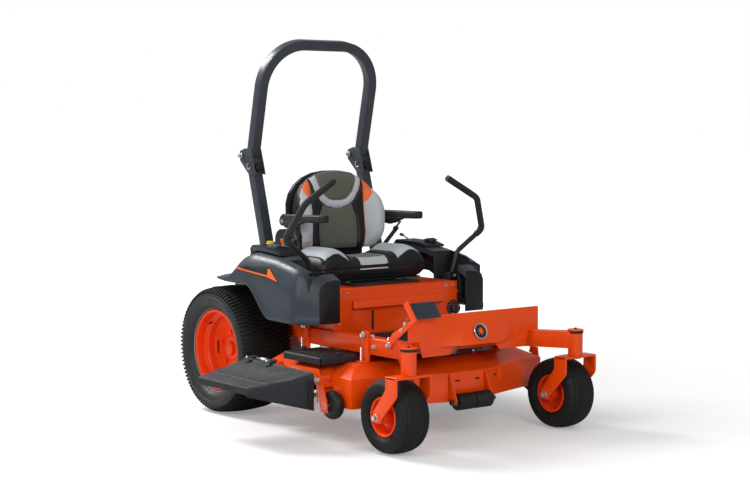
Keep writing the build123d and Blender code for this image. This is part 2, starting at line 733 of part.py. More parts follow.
pin_arm_y = -196
pin_arm_z = 948
with BuildPart() as seat_shell:
    block((-seat_pan_half, seat_pan_half), (cushion_front + 24, -150), (seat_pan_z - 5, seat_pan_z))
    back_slab(62 + clear, 86, 6, 18)
    block((-190, 190), (-172, -150), (seat_pan_z, back_base_z + 40))
    for side in (-1, 1):
        # armrest pins, carried by tabs on the back shell
        x0, x1 = sorted((side * 240, side * 287))
        block((x0, x1), (-158, -144), (pin_arm_z - 22, pin_arm_z + 22))
        x0, x1 = sorted((side * 287, side * 296))
        side_plate([(-215, pin_arm_z - 20), (-144, pin_arm_z - 22), (-144, pin_arm_z + 22),
                    (-215, pin_arm_z + 20)], x0, x1)
        x0, x1 = sorted((side * 296, side * 322))
        rod_x(8, x0, x1, pin_arm_y, pin_arm_z)
finish(seat_shell, "seat_shell")

with BuildPart() as seat_cushion:
    front_plate([(-322, seat_pan_z + clear), (-cushion_half, 742), (-304, 800), (-224, 828),
                 (-150, 788), (0, 772), (150, 788), (224, 828), (304, 800), (cushion_half, 742),
                 (322, seat_pan_z + clear)], cushion_front, cushion_rear)
    fillet(seat_cushion.edges().filter_by(
        lambda e: abs(abs(e.center().X) - (cushion_half - 11)) < 14 and e.center().Z < 745
        and abs(e.length - 76) < 12), radius=40)
finish(seat_cushion, "seat_cushion")

with BuildPart() as armrest:
    top_plate([(298 + clear, -180), (324, -180), (324, -350), (314, -500), (300, -526), (272, -526),
               (262, -505), (264, -372), (298 + clear, -345)], pin_arm_z - 4, pin_arm_z + 40)
    rod_x(24, 298 + clear, 324, pin_arm_y, pin_arm_z)
    side_plate([(-360, pin_arm_z - 4), (-240, pin_arm_z - 34), (-200, pin_arm_z - 24),
                (-200, pin_arm_z - 4)], 298 + clear, 324)
    rod_x(8 + fit, 297, 322 + clear, pin_arm_y, pin_arm_z, Mode.SUBTRACT)
    fillet(armrest.faces().sort_by(Axis.Z)[-1].edges(), radius=7)
finish_pair(armrest, "armrest")

with BuildPart() as belt:
    # buckle on its stalk at the right, webbing and tongue at the left
    block((-290, -276), (-250, -224), (seat_pan_z, 800))
    block((-297, -268), (-256, -218), (800, 858))
    block((268, 296), (-250, -228), (seat_pan_z, 812))
    side_plate([(-250, 806), (-228, 812), (-318, 896), (-334, 884)], 268, 296)
    side_plate([(-318, 896), (-334, 884), (-372, 924), (-360, 936)], 272, 292)
finish(belt, "seat_belt")

# Engine at the rear
platform = rail_top + plate
with BuildPart() as engine_block:
    block((-130, 130), (60, 330), (platform, 640))
    for side in (-1, 1):
        x0, x1 = sorted((side * 130, side * 215))
        block((x0, x1), (110, 270), (520, 640))
    for i in range(5):
        z = 535 + 22 * i
        block((-224, 224), (104, 276), (z, z + 5))
    fillet(engine_block.edges().filter_by(Axis.Z).sort_by(SortBy.LENGTH)[-4:], radius=20)
finish(engine_block, "engine_block")

with BuildPart() as shroud:
    block((-190, 190), (40, 330), (642, 760))
    fillet(shroud.edges().filter_by(Axis.Z), radius=60)
    fillet(shroud.faces().sort_by(Axis.Z)[-1].edges(), radius=22)
    rod_z(105, 760, 806, 0, 180)
    rod_z(98, 798, 807, 0, 180, Mode.SUBTRACT)
    rod_x(58, -150, 150, 60, 830)
    block((-150, 150), (30, 90), (750, 800))
    block((-186, 186), (60, 320), (640, 642))
finish(shroud, "engine_shroud")

with BuildPart() as muffler:
    rod_x(58, -170, 170, 420, 560)
    fillet(muffler.edges(), radius=14)
    for x in (-90, 90):
        block((x - 14, x + 14), (330, 370), (535, 565))
        block((x - 12, x + 12), (400, 440), (platform, 506))
    rod_y(17, 440, 505, 120, 545)
finish(muffler, "muffler")

guard_top = 545
with BuildPart() as guard:
    with BuildLine() as guard_path:
        FilletPolyline((rear_x, 430, platform), (rear_x, 430, guard_top - 30),
                       (rear_x, 545, guard_top), (-rear_x, 545, guard_top),
                       (-rear_x, 430, guard_top - 30), (-rear_x, 430, platform), radius=30)
    with BuildSketch(Plane(origin=guard_path.line @ 0, z_dir=guard_path.line % 0)):
        Circle(17)
    sweep()
finish(guard, "engine_guard")

with BuildPart() as transaxle:
    block((120, 300), (-105, 105), (235, rail_bottom))
    fillet(transaxle.edges().filter_by(Axis.X), radius=24)
    rod_z(52, 300, rail_bottom - 4, 180, 0)
    rod_x(46, 300, 330, 0, drive_tyre_radius)
    rod_x(axle_radius, 330, drive_x + disc_offset + 22, 0, drive_tyre_radius)
    rod_x(34, drive_x + disc_offset + 14 + clear, drive_x + disc_offset + 28, 0, drive_tyre_radius)
finish(both_sides(transaxle), "transaxles")

# Mower deck
deck_outline = [(-deck_side, deck_rear), (-deck_side, -922), (-572, -930), (-572, -1090),
                (-440, -1100), (-250, -1155), (-100, -1210), (100, -1210), (250, -1155),
                (440, -1100), (572, -1090), (572, -930), (deck_side, -922), (deck_side, deck_rear)]
deck_middle_y = -600
deck_taper_x = 0.83
deck_taper_y = 0.8


def deck_solid(inset, mode):
    """The deck's body: an upright skirt and a sloping apron up to the flat top."""
    low = deck_bottom if inset == 0 else deck_bottom - 1
    bend = deck_skirt_top - inset * 0.5
    shrink = (deck_side - inset) / deck_side
    levels = []
    for height, fx, fy in ((low, 1, 1), (bend, 1, 1), (deck_top - inset, deck_taper_x, deck_taper_y)):
        with BuildSketch(Plane.XY.offset(height)) as level:
            with BuildLine():
                Polyline(*[(x * fx * shrink, deck_middle_y + (y - deck_middle_y) * fy * shrink)
                           for x, y in deck_outline], close=True)
            make_face()
        levels.append(level.sketch)
    loft(levels, ruled=True, mode=mode)


spindles = [(-spindle_x, spindle_outer_y), (0, spindle_middle_y), (spindle_x, spindle_outer_y)]
housing_top = deck_top + 4
opening_y = (-918, -478)
with BuildPart() as deck:
    deck_solid(0, Mode.ADD)
    deck_solid(deck_wall, Mode.SUBTRACT)
    # discharge opening in the right side
    block((-deck_side - 1, -560), opening_y, (deck_bottom - 1, 292), Mode.SUBTRACT)
    for x, y in spindles:
        rod_z(46, deck_top - 62, housing_top, x, y)
        rod_z(spindle_shaft_radius + fit, deck_top - 70, housing_top + 1, x, y, Mode.SUBTRACT)
finish(deck, "deck_shell")

blade_names = ("blade_right", "blade_middle", "blade_left")
for blade_name, (x, y) in zip(blade_names, spindles):
    with BuildPart() as blade:
        block((x - blade_length / 2, x + blade_length / 2), (y - 28, y + 28), (blade_z, blade_z + 6))
        for side in (-1, 1):
            x0, x1 = sorted((x + side * (blade_length / 2 - 90), x + side * blade_length / 2))
            block((x0, x1), (y + (8 if side > 0 else -28), y + (28 if side > 0 else -8)),
                  (blade_z + 5, blade_z + 16))
        rod_z(24, blade_z - 8, blade_z + 14, x, y)
        rod_z(spindle_shaft_radius, blade_z, housing_top + 18, x, y)
        rod_z(22, deck_top - 62 - 12, deck_top - 62 - clear, x, y)
        rod_z(55, housing_top + clear, housing_top + 16, x, y)
    finish(blade, blade_name)

cover_z = (deck_top + clear, 384)
with BuildPart() as cover:
    block((rail_outer + guide_thick + 12, 632), (-945, -640), cover_z)
    fillet(cover.edges().filter_by(Axis.Z), radius=22)
    fillet(cover.faces().sort_by(Axis.Z)[-1].edges(), radius=8)
    block((rail_outer, 628), (-941, -644), (cover_z[0] - 10, cover_z[1] - 4), Mode.SUBTRACT)
    for y in (-915, -670):
        block((420, 440), (y - 8, y + 8), (deck_top, cover_z[1] - 4))
finish(both_sides(cover), "belt_covers")

hanger_x = rail_outer + guide_thick + clear
hinge_lugs = (-672, -455)
hinge_pin_radius = 5
chute_axis_z = chute_hinge_z + 2.5
with BuildPart() as brackets:
    for side in (-1, 1):
        for y in guide_stations:
            x0, x1 = sorted((side * hanger_x, side * (hanger_x + 6)))
            block((x0, x1), (y - 22, y + 22), (deck_top, pin_z + 18))
            block(sorted((side * hanger_x, side * (hanger_x + 40))), (y - 22, y + 22),
                  (deck_top, deck_top + 6))
            x0, x1 = sorted((side * (rail_outer + clear), side * (hanger_x + 14)))
            rod_x(pin_radius, x0, x1, y, pin_z)
    # yoke of the front rollers
    for x in (-roller_length - 12, roller_length + 4):
        side_plate([(-1211, 300), (-1211, 190), (roller_y + 14, roller_z - 14),
                    (roller_y - 14, roller_z - 12), (roller_y - 16, roller_z + 12)], x, x + 8)
    rod_x(gauge_bolt_radius, -roller_length - 20, roller_length + 20, roller_y, roller_z)
    # plates that carry the gauge wheels, arched round the discharge opening at the right
    side_plate([(-742, 336), (-742, 312), (-900, 296), (-938, 262), (-972, 150), (-1018, 150),
                (-1012, 200), (-960, 318), (-950, 338)], -wheel_bracket_x, -wheel_bracket_x + 6)
    block((-wheel_bracket_x + 6, -572), (-960, -932), (255, 275))
    side_plate([(-930, 300), (-950, 300), (-972, 150), (-1018, 150), (-1012, 200), (-990, 330),
                (-940, 330)], wheel_bracket_x - 6, wheel_bracket_x)
    block((572, wheel_bracket_x - 6), (-960, -932), (255, 275))
    for side in (-1, 1):
        x0, x1 = sorted((side * 572, side * (wheel_bracket_x + 8)))
        rod_x(gauge_bolt_radius, x0, x1, gauge_y, gauge_z)
    block((-wheel_bracket_x + 6, -deck_side), (-764, -742), (300, 318))
    # lugs and pin of the chute's hinge
    for y in hinge_lugs:
        front_plate([(-deck_side, 292.5), (chute_hinge_x - 8, chute_axis_z - 10),
                     (chute_hinge_x - 8, chute_axis_z + 9), (chute_hinge_x + 18, chute_axis_z + 9),
                     (-deck_side, deck_skirt_top - 0.5)], y, y + 12)
    rod_y(hinge_pin_radius, hinge_lugs[0], hinge_lugs[1] + 12, chute_hinge_x, chute_axis_z)
finish(brackets, "deck_brackets")

gauge_inner = 606 - gauge_width / 2
with BuildPart() as gauge_wheel:
    rod_x(gauge_radius, gauge_inner, gauge_inner + gauge_width, gauge_y, gauge_z)
    fillet(gauge_wheel.edges(), radius=20)
    rod_x(18, gauge_inner - 3, gauge_inner + gauge_width + 3, gauge_y, gauge_z)
    rod_x(gauge_bolt_radius + fit, gauge_inner - 4, gauge_inner + gauge_width + 4, gauge_y, gauge_z,
          Mode.SUBTRACT)
finish_pair(gauge_wheel, "gauge_wheel")

with BuildPart() as rollers:
    for x0, x1 in ((-roller_length, -2), (2, roller_length)):
        rod_x(roller_radius, x0, x1, roller_y, roller_z)
    fillet(rollers.edges(), radius=8)
    rod_x(gauge_bolt_radius + fit, -roller_length - 1, roller_length + 1, roller_y, roller_z,
          Mode.SUBTRACT)
finish(rollers, "front_rollers")

# Discharge chute on its hinge along the deck's right side
chute_end_x = chute_hinge_x - chute_reach
chute_end_z = chute_hinge_z - chute_drop
wall_low = 150
wall_high = 226
with BuildPart() as chute:
    front_plate([(chute_hinge_x, chute_hinge_z + 5), (chute_end_x, chute_end_z + 5),
                 (chute_end_x - 5, chute_end_z), (chute_end_x - 8, chute_end_z - 32),
                 (chute_end_x - 3, chute_end_z - 32), (chute_end_x, chute_end_z),
                 (chute_hinge_x, chute_hinge_z)], chute_front, chute_rear)
    # room for the hinge lugs beside the knuckle
    for y0, y1 in ((chute_front, hinge_lugs[0] + 12 + clear), (hinge_lugs[1] - clear, chute_rear)):
        block((chute_hinge_x - 22, chute_hinge_x + 2), (y0, y1), (200, 400), Mode.SUBTRACT)
    rod_y(11, hinge_lugs[0] + 12 + clear, hinge_lugs[1] - clear, chute_hinge_x, chute_axis_z)
    rod_y(hinge_pin_radius + fit, chute_front, chute_rear, chute_hinge_x, chute_axis_z,
          Mode.SUBTRACT)
    # the front wall: straight near the deck, then slanted back to the outer edge
    corner_x = chute_hinge_x - 70
    top_plate([(chute_hinge_x - 22, chute_front), (corner_x, chute_front),
               (chute_end_x - 8, chute_front + 150), (chute_end_x - 8, chute_front + 155),
               (corner_x - 2, chute_front + 5), (chute_hinge_x - 22, chute_front + 5)],
              wall_low, chute_hinge_z)
    # trimmed above the plate, below the slanted lower edge and ahead of the wall
    front_plate([(chute_hinge_x, chute_hinge_z + 5), (chute_end_x - 9, chute_end_z + 3),
                 (chute_end_x - 9, 420), (chute_hinge_x, 420)], chute_front - 1, chute_front + 160,
                Mode.SUBTRACT)
    front_plate([(chute_hinge_x, wall_low), (chute_end_x - 9, wall_high), (chute_end_x - 9, 100),
                 (chute_hinge_x, 100)], chute_front - 1, chute_front + 160, Mode.SUBTRACT)
    top_plate([(corner_x, chute_front), (chute_end_x - 8, chute_front + 150),
               (chute_end_x - 60, chute_front + 150), (chute_end_x - 60, chute_front - 10),
               (corner_x, chute_front - 10)], 100, 420, Mode.SUBTRACT)
finish(chute, "chute")

# Deck lift pedal at the right front
pedal_y = -1150
pedal_z = 446
pedal_x = -rail_outer - clear
with BuildPart() as pedal:
    rod_x(18, pedal_x - 12, pedal_x, pedal_y, pedal_z)
    side_plate([(pedal_y + 14, pedal_z + 12), (pedal_y - 20, pedal_z + 55), (-1300, 570),
                (-1246, 636), (-1270, 654), (-1336, 572), (-1190, 470), (pedal_y - 14, pedal_z)],
               pedal_x - 8, pedal_x)
    with BuildSketch(Plane.YZ.offset(pedal_x)):
        with BuildLine():
            Polyline((-1308, 578), (-1300, 572), (-1258, 628), (-1264, 636), close=True)
        make_face()
    extrude(amount=150)
finish(pedal, "deck_lift_pedal")
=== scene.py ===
import json
from math import atan2, cos, exp, hypot, pi, radians, sin, tan

import bmesh
import bpy
from mathutils import Matrix, Vector

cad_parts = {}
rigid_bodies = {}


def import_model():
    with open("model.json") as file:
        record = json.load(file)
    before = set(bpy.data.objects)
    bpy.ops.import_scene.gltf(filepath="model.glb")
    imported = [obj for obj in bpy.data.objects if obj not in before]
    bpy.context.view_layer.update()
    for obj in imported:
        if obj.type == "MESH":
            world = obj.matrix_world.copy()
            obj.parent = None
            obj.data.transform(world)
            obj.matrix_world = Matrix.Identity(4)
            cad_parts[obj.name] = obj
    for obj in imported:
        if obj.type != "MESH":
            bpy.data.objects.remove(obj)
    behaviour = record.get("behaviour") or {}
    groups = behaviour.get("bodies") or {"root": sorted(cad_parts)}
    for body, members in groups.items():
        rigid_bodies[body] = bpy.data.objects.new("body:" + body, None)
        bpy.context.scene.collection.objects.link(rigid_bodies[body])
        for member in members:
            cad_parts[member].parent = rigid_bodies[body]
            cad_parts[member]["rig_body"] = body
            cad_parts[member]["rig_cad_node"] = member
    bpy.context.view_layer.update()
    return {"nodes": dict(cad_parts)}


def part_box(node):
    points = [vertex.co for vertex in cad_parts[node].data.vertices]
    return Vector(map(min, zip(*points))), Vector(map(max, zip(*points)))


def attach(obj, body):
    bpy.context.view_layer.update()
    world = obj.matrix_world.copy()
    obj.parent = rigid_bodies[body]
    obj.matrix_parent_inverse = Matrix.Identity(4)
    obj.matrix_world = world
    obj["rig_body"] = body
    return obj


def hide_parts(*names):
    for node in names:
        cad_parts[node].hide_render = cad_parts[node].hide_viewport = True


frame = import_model()
NODES = frame["nodes"]

bl_info = {
    "name": "Zero turn mower",
    "version": (1, 0, 0),
    "blender": (4, 5, 0),
    "location": "View3D > Sidebar > Mower",
    "description": "Builds the detailed visual model of a zero turn mower round its packed frame",
    "category": "Object",
}

BOTH = ("left", "right")
SIDE = {"left": 1, "right": -1}
LEFT = Vector((1, 0, 0))
FRONT = Vector((0, -1, 0))
UP = Vector((0, 0, 1))


# ---- working on meshes ----
def clear_selection():
    """Leaves edit mode with nothing selected."""
    if bpy.context.object and bpy.context.object.mode != "OBJECT":
        bpy.ops.object.mode_set(mode="OBJECT")
    bpy.ops.object.select_all(action="DESELECT")


def pick(*pieces):
    """Selects these objects; the first is the active one."""
    clear_selection()
    for piece in pieces:
        piece.select_set(True)
    bpy.context.view_layer.objects.active = pieces[0]
    return pieces[0]


def named(name):
    """Names the object that was just added, and its mesh."""
    piece = bpy.context.object
    piece.name = name
    piece.data.name = name
    return piece


def edit(piece):
    pick(piece)
    bpy.ops.object.mode_set(mode="EDIT")
    bpy.ops.mesh.select_all(action="SELECT")


def done():
    bpy.ops.object.mode_set(mode="OBJECT")


def choose(piece, test, kind="FACE"):
    """Selects, in edit mode, the faces, edges or vertices that pass the test. Returns how many."""
    bpy.ops.mesh.select_mode(type=kind)
    bpy.ops.mesh.select_all(action="DESELECT")
    mesh = bmesh.from_edit_mesh(piece.data)
    items = {"FACE": mesh.faces, "EDGE": mesh.edges, "VERT": mesh.verts}[kind]
    items.ensure_lookup_table()
    count = 0
    for item in items:
        if test(item):
            item.select_set(True)
            count += 1
    mesh.select_flush_mode()
    bmesh.update_edit_mesh(piece.data)
    return count


def middle(item):
    """The middle of a face or an edge."""
    if isinstance(item, bmesh.types.BMFace):
        return item.calc_center_median()
    return sum((v.co for v in item.verts), Vector()) / len(item.verts)


def modify(piece, kind, **settings):
    """Adds a modifier, sets it and applies it."""
    pick(piece)
    modifier = piece.modifiers.new(kind.lower(), kind)
    for key, value in settings.items():
        setattr(modifier, key, value)
    bpy.ops.object.modifier_apply(modifier=modifier.name)
    return piece


def soften(piece, width=0.0, segments=2, corner=30, smooth=35):
    """Rounds the sharp edges of a piece and shades it smooth between them."""
    if width:
        modify(piece, "BEVEL", width=width, segments=segments, limit_method="ANGLE",
               angle_limit=radians(corner), use_clamp_overlap=True)
    pick(piece)
    bpy.ops.object.shade_smooth_by_angle(angle=radians(smooth))
    return piece


def tidy_faces(piece):
    """Merges doubles and turns every face outwards."""
    edit(piece)
    bpy.ops.mesh.remove_doubles(threshold=1e-5)
    bpy.ops.mesh.delete_loose()
    bpy.ops.mesh.select_all(action="SELECT")
    bpy.ops.mesh.normals_make_consistent(inside=False)
    done()
    return piece


def put(piece, place, facing=(0, 0, 1), roll=0.0):
    """Turns a piece that was made upright at the origin to face a way, and moves it to its place."""
    pick(piece)
    turn = Vector(facing).to_track_quat("Z", "Y").to_matrix().to_4x4() @ Matrix.Rotation(roll, 4, "Z")
    piece.matrix_world = Matrix.Translation(Vector(place)) @ turn
    bpy.ops.object.transform_apply(location=True, rotation=True, scale=True)
    return piece


def another(piece, name):
    """A copy with its own mesh."""
    pick(piece)
    bpy.ops.object.duplicate(linked=False)
    return named(name)


def mirrored(piece, name):
    """The same piece on the other side of the machine."""
    other = another(piece, name)
    edit(other)
    bpy.ops.transform.resize(value=(-1, 1, 1), center_override=(0, 0, 0))
    bpy.ops.mesh.flip_normals()
    done()
    return other


def joined(name, pieces):
    """One piece made of several."""
    pick(*pieces)
    if len(pieces) > 1:
        bpy.ops.object.join()
    return named(name)


def dress(piece, finish, body, replaces=()):
    """Gives a piece its finish, its body and the nodes it stands for."""
    if finish:
        piece.data.materials.clear()
        piece.data.materials.append(bpy.data.materials[finish])
    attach(piece, body)
    if replaces:
        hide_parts(*replaces)
    return piece


def plate(name, corners, push, edge=0.0015, segments=2):
    """A flat outline pushed out into a plate, with rounded edges."""
    clear_selection()
    bpy.ops.mesh.primitive_circle_add(vertices=len(corners), radius=1, fill_type="NGON")
    piece = named(name)
    for vertex, corner in zip(piece.data.vertices, corners):
        vertex.co = corner
    edit(piece)
    bpy.ops.mesh.extrude_region_move(TRANSFORM_OT_translate={"value": Vector(push)})
    bpy.ops.mesh.select_all(action="SELECT")
    bpy.ops.mesh.normals_make_consistent(inside=False)
    done()
    return soften(piece, edge, segments)


def side_view(points, x):
    return [(x, y, z) for y, z in points]


def front_view(points, y):
    return [(x, y, z) for x, z in points]


def top_view(points, z):
    return [(x, y, z) for x, y in points]


def rounded(points, radius, steps=5):
    """The outline with its corners replaced by arcs. A radius may be given for each corner."""
    radii = radius if isinstance(radius, (list, tuple)) else [radius] * len(points)
    out = []
    count = len(points)
    for i, point in enumerate(points):
        here = Vector(point)
        before = (Vector(points[i - 1]) - here)
        after = (Vector(points[(i + 1) % count]) - here)
        half = before.angle(after) / 2
        if radii[i] <= 0 or half > pi / 2 - 0.02:
            out.append(tuple(here))
            continue
        reach = min(radii[i] / tan(half), before.length * 0.49, after.length * 0.49)
        start, end = here + before.normalized() * reach, here + after.normalized() * reach
        middle_way = (before.normalized() + after.normalized()).normalized()
        real = reach * tan(half)
        centre = here + middle_way * (real / sin(half))
        arm0, arm1 = start - centre, end - centre
        sweep = arm0.angle(arm1)
        for k in range(steps + 1):
            share = k / steps
            arm = (arm0 * sin((1 - share) * sweep) + arm1 * sin(share * sweep)) / sin(sweep)
            out.append(tuple(centre + arm))
    return out


def spun(name, profile, steps, open_ended=False):
    """A ring or a knob: (radius, height) points spun about the upright axis at the origin."""
    clear_selection()
    bpy.ops.mesh.primitive_circle_add(vertices=len(profile), radius=1)
    piece = named(name)
    for vertex, (radius, height) in zip(piece.data.vertices, profile):
        vertex.co = (radius, 0, height)
    edit(piece)
    if open_ended:
        ends = {0, len(profile) - 1}
        choose(piece, lambda edge: {v.index for v in edge.verts} == ends, "EDGE")
        bpy.ops.mesh.delete(type="EDGE")
    bpy.ops.mesh.select_mode(type="VERT")
    bpy.ops.mesh.select_all(action="SELECT")
    bpy.ops.mesh.spin(steps=steps, angle=2 * pi, center=(0, 0, 0), axis=(0, 0, 1))
    done()
    return tidy_faces(piece)


def bar(name, points, radius, bend=0.0, steps=8, around=4, caps=True):
    """A round bar or tube along a path whose corners are arcs."""
    path = [Vector(p) for p in points]
    if bend:
        inner = rounded([tuple(p) for p in path], [0] + [bend] * (len(path) - 2) + [0], steps)
        path = [Vector(p) for p in inner]
    clear_selection()
    bpy.ops.curve.primitive_nurbs_path_add()
    piece = named(name)
    piece.data.splines.clear()
    spline = piece.data.splines.new("POLY")
    spline.points.add(len(path) - 1)
    for point, place in zip(spline.points, path):
        point.co = (*place, 1)
    piece.data.dimensions = "3D"
    piece.data.bevel_depth = radius
    piece.data.bevel_resolution = around
    piece.data.use_fill_caps = caps
    piece.matrix_world = Matrix.Identity(4)
    pick(piece)
    bpy.ops.object.convert(target="MESH")
    piece = named(name)
    tidy_faces(piece)
    return soften(piece, 0, smooth=50)


def box_piece(name, low, high, edge=0.002, segments=2):
    """A block between two corners, with rounded edges."""
    (x0, y0, z0), (x1, y1, z1) = low, high
    return plate(name, [(x0, y0, z0), (x1, y0, z0), (x1, y1, z0), (x0, y1, z0)], (0, 0, z1 - z0),
                 edge, segments)


def bolt(name, place, facing, size, head=0.6):
    """A washer and a hexagon head with chamfered corners. Size is the washer's radius."""
    washer = spun(name + "_washer", [(0, 0), (size, 0), (size, size * 0.16), (size * 0.94, size * 0.22),
                                     (0, size * 0.22)], 20, open_ended=True)
    clear_selection()
    bpy.ops.mesh.primitive_circle_add(vertices=6, radius=size * 0.78, fill_type="NGON",
                                      location=(0, 0, size * 0.2))
    top = named(name)
    bpy.ops.object.transform_apply(location=True, rotation=True, scale=True)
    edit(top)
    bpy.ops.mesh.extrude_region_move(TRANSFORM_OT_translate={"value": (0, 0, size * head)})
    bpy.ops.mesh.extrude_region_move(TRANSFORM_OT_translate={"value": (0, 0, size * 0.1)})
    bpy.ops.transform.resize(value=(0.84, 0.84, 1), center_override=(0, 0, 0))
    bpy.ops.mesh.select_all(action="SELECT")
    bpy.ops.mesh.normals_make_consistent(inside=False)
    done()
    return put(soften(joined(name, [top, washer]), 0, smooth=30), place, facing)


def bolts(name, body, places, finish="bright steel"):
    """Several bolts as one piece. Each place is (point, way it faces, size)."""
    made = [bolt(f"{name}_{i}", *place) for i, place in enumerate(places)]
    return dress(joined(name, made), finish, body)


def round_node(node, finish, edge=0.003, segments=2, corner=32, smooth=32):
    """A copy of a CAD node with merged faces and rounded edges, which stands for the node."""
    source = NODES[node]
    body = source["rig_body"]
    pick(source)
    bpy.ops.object.duplicate(linked=False)
    piece = named(node + "_rounded")
    del piece["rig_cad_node"]
    bpy.ops.mesh.customdata_custom_splitnormals_clear()
    edit(piece)
    bpy.ops.mesh.remove_doubles(threshold=2e-5)
    bpy.ops.mesh.dissolve_limited(angle_limit=radians(0.6))
    done()
    soften(piece, edge, segments, corner, smooth)
    return dress(piece, finish, body, [node])


# ---- finishes ----
class Recipe:
    """A material that is built up from noise on object coordinates."""

    def __init__(self, name):
        self.made = bpy.data.materials.new(name)
        self.made.use_nodes = True
        tree = self.made.node_tree
        self.nodes, self.links = tree.nodes, tree.links
        self.surface = self.nodes["Principled BSDF"]
        self.place = self.nodes.new("ShaderNodeTexCoord").outputs["Object"]

    def spots(self, scale, detail=3.0, rough=0.5, stretch=(1, 1, 1)):
        place = self.place
        if stretch != (1, 1, 1):
            mapping = self.nodes.new("ShaderNodeMapping")
            mapping.inputs["Scale"].default_value = stretch
            self.links.new(place, mapping.inputs["Vector"])
            place = mapping.outputs["Vector"]
        noise = self.nodes.new("ShaderNodeTexNoise")
        noise.inputs["Scale"].default_value = scale
        noise.inputs["Detail"].default_value = detail
        noise.inputs["Roughness"].default_value = rough
        self.links.new(place, noise.inputs["Vector"])
        return noise.outputs["Fac"]

    def cells(self, scale, feature="F1"):
        cells = self.nodes.new("ShaderNodeTexVoronoi")
        cells.feature = feature
        cells.inputs["Scale"].default_value = scale
        self.links.new(self.place, cells.inputs["Vector"])
        return cells.outputs["Distance"]

    def wave(self, scale, direction):
        wave = self.nodes.new("ShaderNodeTexWave")
        wave.bands_direction = direction
        wave.inputs["Scale"].default_value = scale
        self.links.new(self.place, wave.inputs["Vector"])
        return wave.outputs["Fac"]

    def spread(self, value, low, high, to_low, to_high):
        ranged = self.nodes.new("ShaderNodeMapRange")
        for key, number in (("From Min", low), ("From Max", high), ("To Min", to_low),
                            ("To Max", to_high)):
            ranged.inputs[key].default_value = number
        self.links.new(value, ranged.inputs["Value"])
        return ranged.outputs["Result"]

    def join(self, operation, first, second):
        sum_node = self.nodes.new("ShaderNodeMath")
        sum_node.operation = operation
        for socket, value in zip(sum_node.inputs, (first, second)):
            if isinstance(value, (int, float)):
                socket.default_value = value
            else:
                self.links.new(value, socket)
        return sum_node.outputs["Value"]

    def blend(self, share, first, second):
        """A colour between two, by share."""
        mix = self.nodes.new("ShaderNodeMix")
        mix.data_type = "RGBA"
        self.links.new(share, mix.inputs["Factor"])
        for socket, value in ((mix.inputs[6], first), (mix.inputs[7], second)):
            if isinstance(value, bpy.types.NodeSocket):
                self.links.new(value, socket)
            else:
                socket.default_value = (*value, 1)
        return mix.outputs[2]

    def relief(self, height, distance, strength=1.0, under=None):
        bump = self.nodes.new("ShaderNodeBump")
        bump.inputs["Strength"].default_value = strength
        bump.inputs["Distance"].default_value = distance
        self.links.new(height, bump.inputs["Height"])
        if under:
            self.links.new(under, bump.inputs["Normal"])
        return bump.outputs["Normal"]

    def end(self, colour, rough, normal=None, **constants):
        """Wires the last sockets; constants are set on the shader itself."""
        for key, value in (("Base Color", colour), ("Roughness", rough)):
            socket = self.surface.inputs[key]
            if isinstance(value, bpy.types.NodeSocket):
                self.links.new(value, socket)
            elif isinstance(value, (int, float)):
                socket.default_value = value
            else:
                socket.default_value = (*value, 1)
        if normal:
            self.links.new(normal, self.surface.inputs["Normal"])
        for key, value in constants.items():
            self.surface.inputs[key.replace("_", " ")].default_value = value
        return self.made


def shade(colour, factor):
    return tuple(min(1.0, c * factor) for c in colour)


def paint(name, colour, rough, coat=0.0, peel=0.00012, dust=(0.30, 0.26, 0.22), dust_share=0.05):
    """Sprayed paint: slight orange peel, a drift in tone and a thin film of dust in patches."""
    mix = Recipe(name)
    drift = mix.spread(mix.spots(3.2, 4), 0.3, 0.7, 0, 1)
    tone = mix.blend(drift, shade(colour, 0.93), shade(colour, 1.06))
    film = mix.spread(mix.spots(21, 8, 0.7), 0.52, 0.85, 0, dust_share)
    tone = mix.blend(film, tone, dust)
    gloss = mix.spread(mix.spots(46, 5), 0.3, 0.75, rough - 0.04, rough + 0.09)
    peeled = mix.relief(mix.spots(240, 2), peel, 0.5)
    return mix.end(tone, gloss, peeled, Coat_Weight=coat, Coat_Roughness=0.08,
                   Specular_IOR_Level=0.25)


def moulded(name, colour, rough, grain=0.0002, scale=620, scuff=0.1):
    """Moulded plastic with a fine leathery grain and dull scuffs."""
    mix = Recipe(name)
    drift = mix.spread(mix.spots(5, 4), 0.3, 0.7, 0, 1)
    tone = mix.blend(drift, shade(colour, 0.9), shade(colour, 1.12))
    marks = mix.spread(mix.spots(60, 8, 0.75, (1, 1, 3)), 0.56, 0.8, 0, scuff)
    tone = mix.blend(marks, tone, shade(colour, 2.1))
    gloss = mix.spread(mix.spots(34, 5), 0.3, 0.7, rough - 0.05, rough + 0.08)
    fine = mix.relief(mix.cells(scale), grain, 0.6)
    return mix.end(tone, gloss, fine, Specular_IOR_Level=0.3)


def tyre_rubber(name, colour, rough):
    """Tyre rubber with a faint bloom and dust that collects in patches."""
    mix = Recipe(name)
    bloom = mix.spread(mix.spots(9, 6, 0.6), 0.35, 0.75, 0, 1)
    tone = mix.blend(bloom, shade(colour, 0.85), shade(colour, 1.35))
    dusty = mix.spread(mix.spots(38, 9, 0.75), 0.55, 0.85, 0, 0.22)
    tone = mix.blend(dusty, tone, (0.085, 0.080, 0.073))
    gloss = mix.spread(mix.spots(70, 4), 0.3, 0.7, rough - 0.07, rough + 0.1)
    fine = mix.relief(mix.spots(900, 3), 0.0003, 0.5)
    return mix.end(tone, gloss, fine, Specular_IOR_Level=0.3)


